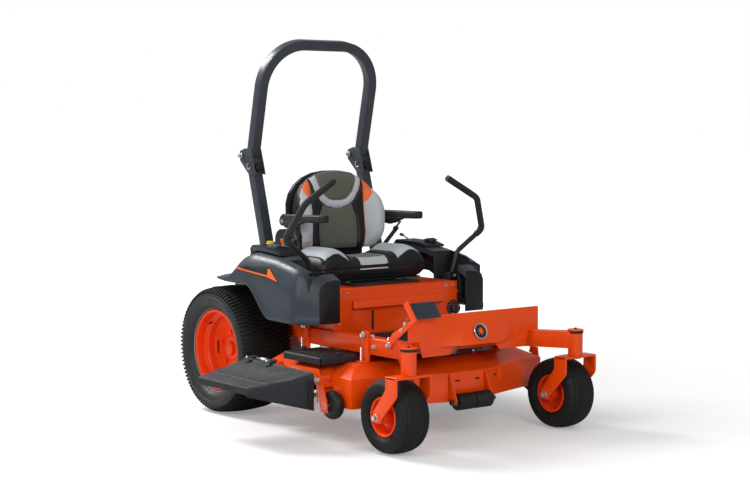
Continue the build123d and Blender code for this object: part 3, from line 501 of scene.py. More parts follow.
def foam(name, colour):
    """Closed-cell foam: tiny open pores and no gloss."""
    mix = Recipe(name)
    tone = mix.blend(mix.spread(mix.spots(14, 5), 0.3, 0.7, 0, 1), shade(colour, 0.8),
                     shade(colour, 1.3))
    pores = mix.relief(mix.cells(760), 0.0006, 0.8)
    return mix.end(tone, 0.78, pores, Specular_IOR_Level=0.35, Sheen_Weight=0.1)


def woven(name, colour, second, across, along):
    """A knitted seat cloth: two sets of threads, flecked with a second yarn."""
    mix = Recipe(name)
    threads = mix.join("MULTIPLY", mix.wave(along, across[0]), mix.wave(along, across[1]))
    fleck = mix.spread(mix.spots(420, 3, 0.6), 0.42, 0.62, 0, 1)
    yarn = mix.blend(fleck, shade(colour, 0.86), second)
    tone = mix.blend(mix.spread(threads, 0, 0.8, 0.25, 1), shade(colour, 0.62), yarn)
    worn = mix.spread(mix.spots(7, 5), 0.35, 0.7, 0.78, 0.94)
    raised = mix.relief(threads, 0.0007, 0.9, mix.relief(mix.spots(60, 4), 0.0012, 0.35))
    return mix.end(tone, worn, raised, Sheen_Weight=0.3, Sheen_Roughness=0.4,
                   Specular_IOR_Level=0.25)


def vinyl(name, colour, rough):
    """Coated seat fabric with a pebbled leather grain and soft creases."""
    mix = Recipe(name)
    tone = mix.blend(mix.spread(mix.spots(8, 5), 0.3, 0.7, 0, 1), shade(colour, 0.85),
                     shade(colour, 1.2))
    gloss = mix.spread(mix.spots(26, 5), 0.3, 0.7, rough - 0.06, rough + 0.1)
    creases = mix.relief(mix.spots(34, 5, 0.6, (1, 1, 2.2)), 0.0016, 0.35)
    pebbles = mix.relief(mix.cells(430, "SMOOTH_F1"), 0.0005, 0.6, creases)
    return mix.end(tone, gloss, pebbles, Sheen_Weight=0.05, Specular_IOR_Level=0.3)


def metal(name, colour, rough, stretch=(1, 1, 1), stain=(0.28, 0.25, 0.22), cast=0.0):
    """Bare metal: fine drawing lines, faint stains, and a cast skin where asked."""
    mix = Recipe(name)
    stained = mix.spread(mix.spots(30, 8, 0.7), 0.5, 0.85, 0, 0.3)
    tone = mix.blend(stained, colour, stain)
    gloss = mix.spread(mix.spots(130, 5, 0.6, stretch), 0.3, 0.7, rough - 0.06, rough + 0.14)
    height = 0.0009 if cast else 0.00008
    skin = mix.relief(mix.spots(260 if cast else 700, 4, 0.6, stretch), height, cast or 0.4)
    return mix.end(tone, gloss, skin, Metallic=1.0)


class MowerLooks(bpy.types.PropertyGroup):
    """Colours and sizes of the mower that a user may change."""
    machine_colour: bpy.props.FloatVectorProperty(
        name="Machine paint", description="Gloss paint of the frame, deck and rims", size=3,
        subtype="COLOR", min=0, max=1, default=(0.78, 0.063, 0.0004))
    body_colour: bpy.props.FloatVectorProperty(
        name="Body plastic", description="Moulded fenders and seat sides", size=3,
        subtype="COLOR", min=0, max=1, default=(0.030, 0.039, 0.050))
    bar_colour: bpy.props.FloatVectorProperty(
        name="Roll bar paint", description="Satin paint of the roll bar", size=3,
        subtype="COLOR", min=0, max=1, default=(0.036, 0.041, 0.052))
    cloth_colour: bpy.props.FloatVectorProperty(
        name="Seat cloth", description="Middle panels of the seat", size=3,
        subtype="COLOR", min=0, max=1, default=(0.125, 0.130, 0.104))
    bolster_colour: bpy.props.FloatVectorProperty(
        name="Bolster cloth", description="Light bolsters of the seat", size=3,
        subtype="COLOR", min=0, max=1, default=(0.60, 0.65, 0.69))
    lug_height: bpy.props.FloatProperty(
        name="Lug height", description="Height of the drive tyres' tread blocks",
        subtype="DISTANCE", unit="LENGTH", min=0.002, max=0.012, default=0.0085)
    pad_swell: bpy.props.FloatProperty(
        name="Pad swell", description="How far the seat's stuffing may push its cover out",
        subtype="DISTANCE", unit="LENGTH", min=0.0, max=0.03, default=0.014)
    seam_depth: bpy.props.FloatProperty(
        name="Seam depth", description="How deep the seat's sewn seams draw in",
        subtype="DISTANCE", unit="LENGTH", min=0.0, max=0.01, default=0.006)


class MOWER_OT_finishes(bpy.types.Operator):
    """Mixes every paint, plastic, rubber, cloth and metal of the machine"""
    bl_idname = "mower.finishes"
    bl_label = "Mix finishes"

    def execute(self, context):
        looks = context.scene.mower_looks
        orange = tuple(looks.machine_colour)
        slate = tuple(looks.body_colour)
        paint("gloss orange paint", orange, 0.30, coat=0.22)
        paint("rim orange paint", (orange[0], orange[1] * 0.72, orange[2]), 0.34, coat=0.15)
        paint("slate bar paint", tuple(looks.bar_colour), 0.36, coat=0.1, peel=0.0002)
        paint("black satin paint", (0.012, 0.0125, 0.014), 0.38, coat=0.08, peel=0.0002)
        moulded("slate body plastic", slate, 0.34)
        moulded("charcoal plastic", (0.016, 0.018, 0.021), 0.46)
        moulded("chute plastic", (0.0120, 0.0130, 0.0165), 0.60)
        moulded("black plastic", (0.0085, 0.009, 0.010), 0.42)
        moulded("dark ribbed plastic", (0.013, 0.014, 0.016), 0.5, 0.0003)
        moulded("yellow plastic", (0.78, 0.52, 0.015), 0.35)
        moulded("orange plastic", (0.80, 0.12, 0.012), 0.38)
        moulded("red plastic", (0.62, 0.02, 0.015), 0.35)
        moulded("blue label film", (0.10, 0.26, 0.50), 0.35, 0.00005)
        moulded("pale label film", (0.55, 0.56, 0.56), 0.4, 0.00005)
        # One tyre rubber in two copies: the near-black tread copy is painted shade, and the lighter bluish
        # sidewall copy is a painted reflection.
        tyre_rubber("tyre rubber", (0.0050, 0.0048, 0.0046), 0.66)
        tyre_rubber("sidewall rubber", (0.0160, 0.0180, 0.0185), 0.50)
        tyre_rubber("roller rubber", (0.010, 0.010, 0.0105), 0.5)
        moulded("sidewall grey", (0.22, 0.22, 0.21), 0.7)
        foam("grip foam", (0.014, 0.0145, 0.016))
        vinyl("armrest skin", (0.010, 0.0105, 0.012), 0.5)
        cloth = tuple(looks.cloth_colour)
        woven("back cloth", cloth, shade(cloth, 1.45), ("X", "Z"), 78)
        woven("cushion cloth", cloth, shade(cloth, 1.45), ("X", "Y"), 78)
        pale = tuple(looks.bolster_colour)
        woven("pale back cloth", pale, shade(pale, 1.15), ("X", "Z"), 105)
        woven("pale cushion cloth", pale, shade(pale, 1.15), ("X", "Y"), 105)
        vinyl("black vinyl", (0.0075, 0.0075, 0.0085), 0.40)
        vinyl("orange vinyl", (0.78, 0.14, 0.030), 0.5)
        woven("belt webbing", (0.014, 0.014, 0.015), (0.03, 0.03, 0.032), ("X", "Z"), 160)
        metal("bright steel", (0.62, 0.63, 0.64), 0.24)
        metal("brushed steel", (0.42, 0.42, 0.43), 0.34, (1, 8, 1))
        metal("blade steel", (0.30, 0.30, 0.31), 0.38, (6, 1, 1))
        metal("cast aluminium", (0.36, 0.37, 0.38), 0.46, cast=0.6)
        metal("burnt steel", (0.24, 0.20, 0.17), 0.5, stain=(0.16, 0.09, 0.05))
        return {"FINISHED"}


class MOWER_OT_stage(bpy.types.Operator):
    """Adds the plain floor, the soft studio lights and the camera"""
    bl_idname = "mower.stage"
    bl_label = "Set the stage"

    def execute(self, context):
        clear_selection()
        bpy.ops.mesh.primitive_plane_add(size=120)
        floor = named("studio_floor")
        edit(floor)
        bpy.ops.mesh.subdivide(number_cuts=3)
        done()
        mix = Recipe("studio floor")
        tone = mix.blend(mix.spread(mix.spots(0.7, 3), 0.3, 0.7, 0, 1), (0.69, 0.69, 0.69),
                         (0.71, 0.71, 0.71))
        away = mix.nodes.new("ShaderNodeVectorMath")
        away.operation = "LENGTH"
        mix.links.new(mix.place, away.inputs[0])
        seen = mix.nodes.new("ShaderNodeLightPath").outputs["Is Camera Ray"]
        glow = mix.spread(away.outputs["Value"], 1.6, 6.0, 0.26, 0.85)
        made = mix.end(tone, 0.62, None, Specular_IOR_Level=0.2, Emission_Color=(1, 1, 1, 1))
        mix.links.new(mix.join("MULTIPLY", glow, seen), mix.surface.inputs["Emission Strength"])
        floor.data.materials.append(made)
        world = bpy.data.worlds.new("studio")
        world.use_nodes = True
        sky = world.node_tree
        path = sky.nodes.new("ShaderNodeLightPath")
        level = sky.nodes.new("ShaderNodeMapRange")
        level.inputs["To Min"].default_value = 0.40
        level.inputs["To Max"].default_value = 1.0
        sky.links.new(path.outputs["Is Camera Ray"], level.inputs["Value"])
        sky.nodes["Background"].inputs["Color"].default_value = (1, 1, 1, 1)
        sky.links.new(level.outputs["Result"], sky.nodes["Background"].inputs["Strength"])
        context.scene.world = world
        context.scene.view_settings.view_transform = "Standard"
        for name, place, aim, power, size in (
                ("key", (-2.0, 3.8, 5.0), (0, -0.3, 0.4), 420, 2.2),
                ("side", (-5.0, -1.6, 2.8), (0, -0.4, 0.6), 90, 2.2),
                ("front", (-1.6, -6.4, 3.0), (0, -0.6, 0.5), 130, 2.4)):
            bpy.ops.object.light_add(type="AREA", radius=size, location=place)
            lamp = bpy.context.object
            lamp.name = "light_" + name
            lamp.data.energy = power
            lamp.rotation_euler = (Vector(aim) - Vector(place)).to_track_quat("-Z", "Y").to_euler()
        place = Vector((-4.79098563, -6.69328412, 1.42707012))
        look = Vector((0.61145667, 0.78734879, -0.07875675))
        bpy.ops.object.camera_add(location=place)
        camera = bpy.context.object
        camera.rotation_euler = look.to_track_quat("-Z", "Y").to_euler()
        camera.data.lens = 77.34
        camera.data.sensor_width = 36
        context.scene.camera = camera
        return {"FINISHED"}


# ---- wheels ----
def mirror_profile(half):
    """A closed section from its outboard half, listed from the bead to the crown."""
    return half + [(r, -h) for r, h in reversed(half) if abs(h) > 1e-6]


def tread_column(place, columns):
    return int((atan2(place.y, place.x) / (2 * pi) % 1.0) * columns)


class MOWER_OT_drive_tyres(bpy.types.Operator):
    """Builds the rear turf tyres with their staggered tread blocks"""
    bl_idname = "mower.drive_tyres"
    bl_label = "Drive tyres"

    def execute(self, context):
        lug = context.scene.mower_looks.lug_height
        crown = 0.3135 - lug
        columns = 180
        half = [(0.190, 0.1035), (0.2035, 0.1055), (0.2055, 0.1090), (0.2075, 0.1175), (0.2145, 0.1235),
                (0.2165, 0.1265), (0.2290, 0.1365), (0.2450, 0.1420), (0.2520, 0.1428), (0.2535, 0.1442),
                (0.2590, 0.1442), (0.2605, 0.1428), (0.2680, 0.1415), (crown - 0.0260, 0.1375),
                (crown - 0.0160, 0.1310), (crown - 0.0090, 0.1200), (crown - 0.0070, 0.1050),
                (crown - 0.0055, 0.0950), (crown - 0.0053, 0.0890), (crown - 0.0032, 0.0700),
                (crown - 0.0026, 0.0590), (crown - 0.0024, 0.0530), (crown - 0.0010, 0.0350),
                (crown - 0.0008, 0.0220), (crown - 0.0006, 0.0160), (crown, 0.0)]
        tyre = spun("drive_tyre_tread", mirror_profile(half), columns)
        rows = ((0.095, 0.138, 0), (0.059, 0.089, 1), (0.022, 0.053, 2), (-0.016, 0.016, 0))
        edit(tyre)

        def block(face):
            place = middle(face)
            radius = hypot(place.x, place.y)
            if radius < crown - 0.0225:
                return False
            for low, high, shift in rows:
                if low < abs(place.z) < high or (low < 0 and abs(place.z) < high):
                    turn = shift + (1 if place.z < 0 and low > 0 else 0)
                    return (tread_column(place, columns) + turn) % 2 == 0
            return False

        choose(tyre, block)
        bpy.ops.mesh.inset(thickness=0.0007, depth=0.0, use_boundary=True)
        bpy.ops.mesh.inset(thickness=0.0012, depth=lug, use_boundary=True)
        done()
        soften(tyre, 0, smooth=28)
        for side in BOTH:
            node = "drive_tyre_" + side
            low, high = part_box(node)
            piece = put(another(tyre, node + "_tread"), (low + high) / 2, LEFT * SIDE[side])
            dress(piece, "tyre rubber", "drive_wheel_" + side, [node])
            # Sidewall faces get the lighter bluish copy of the rubber as a painted reflection. Tread faces
            # keep the near-black copy as painted shade.
            piece.data.materials.append(bpy.data.materials["sidewall rubber"])
            hub = (low + high) / 2
            for face in piece.data.polygons:
                arm = face.center - hub
                face.material_index = int(hypot(arm.y, arm.z) < crown - 0.022)
            ring = spun(node + "_band", [(0.2040, 0.1090), (0.2060, 0.1105), (0.2080, 0.1150),
                                         (0.2070, 0.1140), (0.2050, 0.1110)], 96)
            soften(put(ring, (low + high) / 2, LEFT * SIDE[side]), 0)
            dress(ring, "sidewall grey", "drive_wheel_" + side)
        bpy.data.objects.remove(tyre)
        return {"FINISHED"}


class MOWER_OT_drive_rims(bpy.types.Operator):
    """Builds the rear rims: barrel, stepped dish with slots, nuts and hub"""
    bl_idname = "mower.drive_rims"
    bl_label = "Drive rims"

    def execute(self, context):
        steps = 64
        section = [(0.1990, 0.1105), (0.2000, 0.1080), (0.1990, 0.1050), (0.1893, 0.1043),
                   (0.1893, -0.1043), (0.1990, -0.1050), (0.2000, -0.1080), (0.1990, -0.1105),
                   (0.1860, -0.1110), (0.1835, -0.1050), (0.1832, 0.0540), (0.1800, 0.0580),
                   (0.1660, 0.0585), (0.1600, 0.0540), (0.1588, 0.0170), (0.1550, 0.0120),
                   (0.1420, 0.0105), (0.1240, 0.0105), (0.0620, 0.0100), (0.0590, 0.0020),
                   (0.0270, 0.0020), (0.0270, 0.0250), (0.0590, 0.0250), (0.0620, 0.0195),
                   (0.1240, 0.0180), (0.1420, 0.0180), (0.1560, 0.0195), (0.1625, 0.0240),
                   (0.1650, 0.0600), (0.1680, 0.0635), (0.1800, 0.0645), (0.1832, 0.0680),
                   (0.1836, 0.1040), (0.1860, 0.1110)]
        rim = spun("drive_rim_dish", section, steps)
        edit(rim)
        for start in (steps // 2 - 2, steps - 2):
            columns = {(start + k) % steps for k in range(5)}

            def slot_face(face):
                place = middle(face)
                return (0.124 < hypot(place.x, place.y) < 0.142 and abs(place.z - 0.0142) < 0.006
                        and tread_column(place, steps) in columns)

            choose(rim, slot_face)
            bpy.ops.mesh.bridge_edge_loops()
        done()
        tidy_faces(rim)
        soften(rim, 0.0016, 2, 38, 40)
        for side in BOTH:
            low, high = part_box("drive_tyre_" + side)
            hub = (low + high) / 2
            facing = LEFT * SIDE[side]
            piece = put(another(rim, f"drive_rim_{side}_dish"), hub, facing)
            body = "drive_wheel_" + side
            dress(piece, "rim orange paint", body, ["drive_rim_" + side])
            nuts = []
            for i in range(5):
                angle = 2 * pi * i / 5 + 0.3
                spot = hub + facing * 0.0185 + Vector((0, cos(angle), sin(angle))) * 0.080
                nuts.append((spot, facing, 0.0135, 0.8))
            bolts(f"wheel_nuts_{side}", body, nuts, "rim orange paint")
            cap = spun(f"hub_cap_{side}", [(0, 0.0430), (0.0290, 0.0425), (0.0345, 0.0400),
                                           (0.0362, 0.0262), (0.0346, 0.0262), (0.0340, 0.0405),
                                           (0, 0.0408)], 40, open_ended=True)
            put(soften(cap, 0), hub, facing)
            dress(cap, "rim orange paint", body)
            valve = bar(f"valve_{side}", [hub + facing * 0.050 + Vector((0, 0.120, 0.124)),
                                          hub + facing * 0.083 + Vector((0, 0.112, 0.116))], 0.0042)
            dress(valve, "black plastic", body)
        bpy.data.objects.remove(rim)
        return {"FINISHED"}


class MOWER_OT_caster_wheels(bpy.types.Operator):
    """Builds the smooth grooved front tyres and their dished rims"""
    bl_idname = "mower.caster_wheels"
    bl_label = "Caster wheels"

    def execute(self, context):
        half = [(0.0825, 0.0610), (0.0920, 0.0625), (0.0955, 0.0660), (0.1000, 0.0735), (0.1110, 0.0785),
                (0.1240, 0.0798), (0.1280, 0.0785), (0.1300, 0.0790), (0.1400, 0.0770), (0.1480, 0.0720),
                (0.1540, 0.0645), (0.1572, 0.0580), (0.1545, 0.0560), (0.1548, 0.0530),
                (0.1590, 0.0510), (0.1612, 0.0430), (0.1622, 0.0370), (0.1598, 0.0352),
                (0.1600, 0.0325), (0.1630, 0.0305), (0.1642, 0.0180), (0.1650, 0.0)]
        tyre = soften(spun("caster_tyre_smooth", mirror_profile(half), 96), 0, smooth=50)
        section = [(0.0875, 0.0665), (0.0890, 0.0640), (0.0875, 0.0618), (0.0813, 0.0612),
                   (0.0813, -0.0612), (0.0875, -0.0618), (0.0890, -0.0640), (0.0875, -0.0665),
                   (0.0790, -0.0670), (0.0765, -0.0630), (0.0765, -0.0200), (0.0730, -0.0120),
                   (0.0600, -0.0040), (0.0420, -0.0040), (0.0330, -0.0120), (0.0290, -0.0300),
                   (0.0280, -0.0760), (0.0240, -0.0780), (0.0096, -0.0780), (0.0096, 0.0780),
                   (0.0240, 0.0780), (0.0280, 0.0760), (0.0290, 0.0300), (0.0330, 0.0120),
                   (0.0420, 0.0040), (0.0600, 0.0040), (0.0730, 0.0120), (0.0765, 0.0200),
                   (0.0765, 0.0630), (0.0790, 0.0670)]
        rim = soften(spun("caster_rim_dish", section, 64), 0.0012, 2, 38, 45)
        for side in BOTH:
            low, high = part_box("caster_tyre_" + side)
            hub, facing, body = (low + high) / 2, LEFT * SIDE[side], "caster_wheel_" + side
            piece = put(another(tyre, f"caster_tyre_{side}_smooth"), hub, facing)
            dress(piece, "tyre rubber", body, ["caster_tyre_" + side])
            piece = put(another(rim, f"caster_rim_{side}_dish"), hub, facing)
            dress(piece, "rim orange paint", body, ["caster_rim_" + side])
            stem = spun(f"caster_valve_{side}", [(0, 0), (0.004, 0), (0.0035, 0.014), (0.0028, 0.020),
                                                 (0, 0.020)], 12, open_ended=True)
            put(stem, hub + facing * 0.007 + Vector((0, 0.046, 0.046)), facing)
            dress(soften(stem), "black plastic", body)
        bpy.data.objects.remove(tyre)
        bpy.data.objects.remove(rim)
        return {"FINISHED"}


class MOWER_OT_forks(bpy.types.Operator):
    """Builds the caster forks from bevelled plates, with their axle bolts and pivot caps"""
    bl_idname = "mower.forks"
    bl_label = "Caster forks"

    def execute(self, context):
        x, front, axle_y, axle_z = 0.498, -1.438, -1.305, 0.165
        top = 0.3511
        outline = rounded([(0, front, top), (0, -1.362, top), (0, -1.362, 0.292),
                           (0, axle_y + 0.030, axle_z + 0.018), (0, axle_y + 0.022, axle_z - 0.024),
                           (0, axle_y - 0.020, axle_z - 0.026), (0, axle_y - 0.028, axle_z - 0.006),
                           (0, front, 0.268)],
                          [0.012, 0.004, 0.03, 0.02, 0.02, 0.02, 0.02, 0.035])
        parts = []
        for inner in (-0.100, 0.090):
            arm = [(x + inner, p[1], p[2]) for p in outline]
            parts.append(plate("fork_arm", arm, (0.010, 0, 0), 0.0028, 3))
        plan = rounded([(x - 0.100, front, top - 0.010), (x + 0.100, front, top - 0.010),
                        (x + 0.100, -1.362, top - 0.010), (x + 0.040, -1.352, top - 0.010),
                        (x - 0.040, -1.352, top - 0.010), (x - 0.100, -1.362, top - 0.010)],
                       [0.004, 0.004, 0.012, 0.03, 0.03, 0.012])
        parts.append(plate("fork_crown", plan, (0, 0, 0.0099), 0.0022, 3))
        for inner in (-0.103, 0.100):
            boss = spun("fork_boss", [(0, 0), (0.020, 0), (0.020, 0.0025), (0.018, 0.0035), (0, 0.0035)],
                        28, open_ended=True)
            parts.append(put(boss, (x + inner, axle_y, axle_z), LEFT))
        weld = spun("fork_collar", [(0.021, 0), (0.030, 0), (0.0285, -0.004), (0.021, -0.0045)], 32)
        parts.append(put(weld, (x, -1.400, top - 0.0095)))
        fork = joined("fork_left_plates", parts)
        stem = spun("fork_stem", [(0, 0.335), (0.01985, 0.335), (0.01985, 0.450), (0.017, 0.454),
                                  (0, 0.454)], 24, open_ended=True)
        put(stem, (x, -1.400, 0))
        fork = joined("fork_left_plates", [fork, stem])
        soften(fork, 0, smooth=32)
        right = mirrored(fork, "fork_right_plates")
        for side, piece in (("left", fork), ("right", right)):
            body = "caster_fork_" + side
            dress(piece, "gloss orange paint", body, ["fork_" + side])
            centre = SIDE[side] * x
            spots = [((centre + s * 0.1035, axle_y, axle_z), LEFT * s, 0.0165, 0.8) for s in (-1, 1)]
            bolts(f"fork_bolts_{side}", body, spots)
            axle = bar(f"fork_axle_{side}", [(centre - 0.0995, axle_y, axle_z),
                                             (centre + 0.0995, axle_y, axle_z)], 0.0089)
            dress(axle, "brushed steel", body)
            cap = spun(f"pivot_cap_{side}", [(0, 0.0139), (0.0045, 0.0139), (0.0062, 0.0118),
                                             (0.0066, 0.0062), (0.0120, 0.0058), (0.0330, 0.0052),
                                             (0.0368, 0.0030), (0.0368, -0.0110), (0.0342, -0.0125),
                                             (0, -0.0125)], 40, open_ended=True)
            put(cap, (centre, -1.400, 0.4665))
            dress(soften(cap, 0, smooth=40), "black plastic", "chassis")
        return {"FINISHED"}


# ---- frame, floor and seat box ----
class MOWER_OT_frame(bpy.types.Operator):
    """Rounds the edges of the frame's rails, arms, crossmembers and floor, and adds the hardware"""
    bl_idname = "mower.frame"
    bl_label = "Frame"

    def execute(self, context):
        for node in ("frame_rails", "caster_arms", "frame_crossmembers"):
            round_node(node, "gloss orange paint", 0.0045, 3)
        tread = round_node("floor_pan", "black satin paint", 0.001)
        low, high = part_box("floor_pan")
        mat_base = box_piece("floor_mat", (low.x + 0.02, low.y + 0.05, high.z),
                             (high.x - 0.02, high.y - 0.02, high.z + 0.005), 0.002)
        bars = []
        count = 22
        for i in range(count):
            y = low.y + 0.07 + i * (high.y - low.y - 0.11) / (count - 1)
            rib = box_piece("mat_rib", (low.x + 0.035, y - 0.004, high.z + 0.004),
                            (high.x - 0.035, y + 0.004, high.z + 0.0075), 0.0015, 1)
            bars.append(rib)
        dress(joined("floor_mat", [mat_base] + bars), "dark ribbed plastic", "chassis")
        places = []
        for s in (-1, 1):
            for y in (-1.10, -0.98, -0.52):
                places.append(((s * 0.365, y, 0.462), UP, 0.0120))
            places.append(((s * 0.3975, -1.03, 0.424), LEFT * s, 0.0130))
            places.append(((s * 0.333, 0.4685, 0.424), (0, 1, 0), 0.0130))
            places.append(((s * 0.210, 0.300, 0.4672), UP, 0.0130))
            places.append(((s * 0.340, 0.020, 0.4632), UP, 0.0120))
        bolts("frame_bolts", "chassis", places)
        rings = []
        for x in (-0.15, 0.15):
            ring = spun("hole_ring", [(0.0066, 0), (0.0120, 0), (0.0115, 0.0016), (0.0066, 0.0016)], 28)
            rings.append(put(ring, (x, 0.468, 0.424), (0, 1, 0)))
        ring = spun("hitch_ring", [(0.0102, 0), (0.0180, 0), (0.0174, 0.002), (0.0102, 0.002)], 32)
        rings.append(put(ring, (0, 0.497, 0.386)))
        dress(joined("hole_rings", rings), "bright steel", "chassis")
        return {"FINISHED"}


class MOWER_OT_foot_panel(bpy.types.Operator):
    """Rounds the faceted front panel and puts the plain round badge on it"""
    bl_idname = "mower.foot_panel"
    bl_label = "Front panel"

    def execute(self, context):
        round_node("foot_panel", "gloss orange paint", 0.0022, 3, 14, 30)
        slope = Vector((0, -1, 0.36)).normalized()
        place = Vector((0, -1.2985, 0.492))
        face = spun("badge_face", [(0, 0.0032), (0.022, 0.0030), (0.0315, 0.0022), (0.0320, 0)], 48,
                    open_ended=True)
        rim = spun("badge_rim", [(0.0310, -0.002), (0.0375, -0.002), (0.0382, 0.0015), (0.0365, 0.0045),
                                 (0.0335, 0.0048), (0.0312, 0.0028)], 64)
        star = []
        for i in range(16):
            reach = 0.0235 if i % 2 == 0 else 0.0085
            angle = pi * i / 8
            star.append((reach * cos(angle), reach * sin(angle), 0.0026))
        spark = plate("badge_star", star, (0, 0, 0.0016), 0.0003, 1)
        for piece, finish, slot in ((face, "black plastic", "black_plastic"),
                                    (rim, "bright steel", "bare_steel"),
                                    (spark, "orange plastic", "orange_paint")):
            put(piece, place, slope)
            dress(soften(piece, 0, smooth=30), finish, "chassis")
        return {"FINISHED"}


class MOWER_OT_seat_box(bpy.types.Operator):
    """Rounds the seat box and its door and adds hood, corner bolts and latch"""
    bl_idname = "mower.seat_box"
    bl_label = "Seat box"

    def execute(self, context):
        round_node("seat_box", "gloss orange paint", 0.0025, 3)
        round_node("seat_box_door", "gloss orange paint", 0.0015)
        front = -0.7001
        hood = plate("box_hood", side_view([(front, 0.598), (front - 0.016, 0.594),
                                            (front - 0.026, 0.560), (front - 0.018, 0.556),
                                            (front, 0.556)], -0.274), (0.548, 0, 0), 0.003, 3)
        dress(hood, "gloss orange paint", "chassis")
        corners = [((s * 0.345, front, z), FRONT, 0.0085) for s in (-1, 1) for z in (0.632, 0.490)]
        corners += [((s * 0.300, front, 0.632), FRONT, 0.0070) for s in (-1, 1)]
        bolts("seat_box_bolts", "chassis", corners)
        slot_rim = box_piece("door_slot", (-0.1555, front - 0.0008, 0.452),
                             (-0.1445, front + 0.0010, 0.542), 0.0008, 1)
        dress(slot_rim, "black plastic", "chassis")
        return {"FINISHED"}


class MOWER_OT_roll_bar(bpy.types.Operator):
    """Rounds the roll bar's square tubes and adds hinge hardware and clamp knobs"""
    bl_idname = "mower.roll_bar"
    bl_label = "Roll bar"

    def execute(self, context):
        round_node("rops_hoop", "slate bar paint", 0.006, 3, 40, 40)
        for side in BOTH:
            round_node("rops_post_" + side, "slate bar paint", 0.003, 3, 32, 35)
            s = SIDE[side]
            x = s * 0.337
            spots = [((x + t * 0.0388, 0.084, 1.264), LEFT * t, 0.0135, 0.8) for t in (-1, 1)]
            bolts(f"fold_bolts_{side}", "chassis", spots)
            low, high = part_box("rops_knob_" + side)
            place = Vector(((low.x + high.x) / 2, high.y, (low.z + high.z) / 2))
            knob = spun("clamp_knob", [(0, 0), (0.012, 0), (0.0135, -0.004), (0.0145, -0.012),
                                       (0.0200, -0.015), (0.0212, -0.019), (0.0212, -0.030),
                                       (0.0195, -0.034), (0, -0.0355)], 48, open_ended=True)
            edit(knob)
            choose(knob, lambda f: hypot(*middle(f).xy) > 0.019
                   and tread_column(middle(f), 48) % 8 in (0, 1, 2))
            bpy.ops.mesh.inset(thickness=0.0008, depth=-0.0025, use_boundary=True)
            done()
            tidy_faces(knob)
            put(soften(knob, 0.0008, 2, 40, 40), place, (0, 1, 0))
            dress(knob, "black plastic", "rops_knob_" + side, ["rops_knob_" + side])
            pin = bar(f"lock_pin_{side}", [(x - 0.046, 0.018, 1.222), (x + 0.046, 0.018, 1.222)],
                      0.0055)
            loop = bar(f"lock_clip_{side}", [(x - 0.044, 0.018, 1.222), (x - 0.050, 0.014, 1.206),
                                             (x - 0.046, 0.004, 1.192), (x - 0.040, 0.000, 1.206)],
                       0.0016, 0.008, 4, 2)
            dress(joined(f"lock_pin_{side}", [pin, loop]), "bright steel", "chassis")
        return {"FINISHED"}


# ---- levers ----
LEVER_PATH = [(0.424, -0.605, 0.680), (0.457, -0.604, 0.787), (0.602, -0.627, 0.895),
              (0.524, -0.676, 1.055), (0.345, -0.657, 1.157)]


class MOWER_OT_levers(bpy.types.Operator):
    """Adds the steering levers' tubes, foam grips, base hardware and dampers"""
    bl_idname = "mower.levers"
    bl_label = "Steering levers"

    def execute(self, context):
        start = Vector(LEVER_PATH[1]).lerp(Vector(LEVER_PATH[2]), 0.75)
        path = [tuple(start)] + LEVER_PATH[2:]
        grip = bar("grip_foam", path, 0.0160, 0.055, 12, 5)
        end = Vector(LEVER_PATH[4])
        way = (end - Vector(LEVER_PATH[3])).normalized()
        edit(grip)
        choose(grip, lambda f: len(f.verts) > 4)
        bpy.ops.mesh.bevel(offset=0.006, segments=4, affect="EDGES")
        done()
        rings = []
        for k in range(26):
            share = 0.06 + 0.88 * k / 25
            spot = Vector(LEVER_PATH[3]).lerp(end, share)
            if (spot - Vector(LEVER_PATH[3])).length < 0.03:
                continue
            ring = spun("grip_ring", [(0.0154, -0.0012), (0.0168, -0.0008), (0.0168, 0.0008),
                                      (0.0154, 0.0012)], 24)
            rings.append(put(ring, spot, way))
        grip = joined("grip_foam", [grip] + rings)
        soften(grip, 0, smooth=50)
        tube = bar("lever_tube", LEVER_PATH, 0.0125, 0.055, 12, 5)
        knuckle = spun("lever_knuckle", [(0.0063, -0.0137), (0.0128, -0.0137), (0.0135, -0.0128),
                                         (0.0135, 0.0128), (0.0128, 0.0137), (0.0063, 0.0137)], 32)
        tube = joined("lever_tube", [tube, put(knuckle, (0.424, -0.605, 0.668), (0, 1, 0))])
        soften(tube, 0, smooth=45)
        for side in BOTH:
            s = SIDE[side]
            mine = another if s > 0 else mirrored
            dress(mine(grip, "grip_foam_" + side), "grip foam", "lap_bar_" + side,
                  ["grip_" + side])
            dress(mine(tube, "lever_tube_" + side), "black satin paint", "lap_bar_" + side,
                  ["lap_bar_" + side])
            round_node("lever_bracket_" + side, "black satin paint", 0.0018)
            bolts(f"lever_bolts_{side}", "lever_bracket_" + side,
                  [((s * 0.424, -0.6255, 0.668), FRONT, 0.0110, 0.8),
                   ((s * 0.3945, -0.588, 0.640), LEFT * s, 0.0100),
                   ((s * 0.3945, -0.622, 0.640), LEFT * s, 0.0100)])
            damper = bar(f"damper_{side}", [(s * 0.400, -0.640, 0.612), (s * 0.400, -0.690, 0.585)],
                         0.0075)
            rod = bar(f"damper_rod_{side}", [(s * 0.400, -0.610, 0.640), (s * 0.400, -0.645, 0.610)],
                      0.0038)
            dress(joined(f"damper_{side}", [damper, rod]), "bright steel", "lever_bracket_" + side)
        bpy.data.objects.remove(grip)
        bpy.data.objects.remove(tube)
        return {"FINISHED"}


# ---- seat ----
BACK_BASE = Vector((0, -0.238, 0.800))
LEAN = radians(4)
BACK_UP = Vector((0, sin(LEAN), cos(LEAN)))
BACK_OUT = Vector((0, -cos(LEAN), sin(LEAN)))


def on_back(x, rise, out):
    """A point of the backrest: across, up along its front face and out of it."""
    return BACK_BASE + LEFT * x + BACK_UP * rise + BACK_OUT * out


def back_place(point):
    """(across, up, out) of a point in the backrest's own directions."""
    arm = Vector(point) - BACK_BASE
    return arm.x, arm.dot(BACK_UP), arm.dot(BACK_OUT)


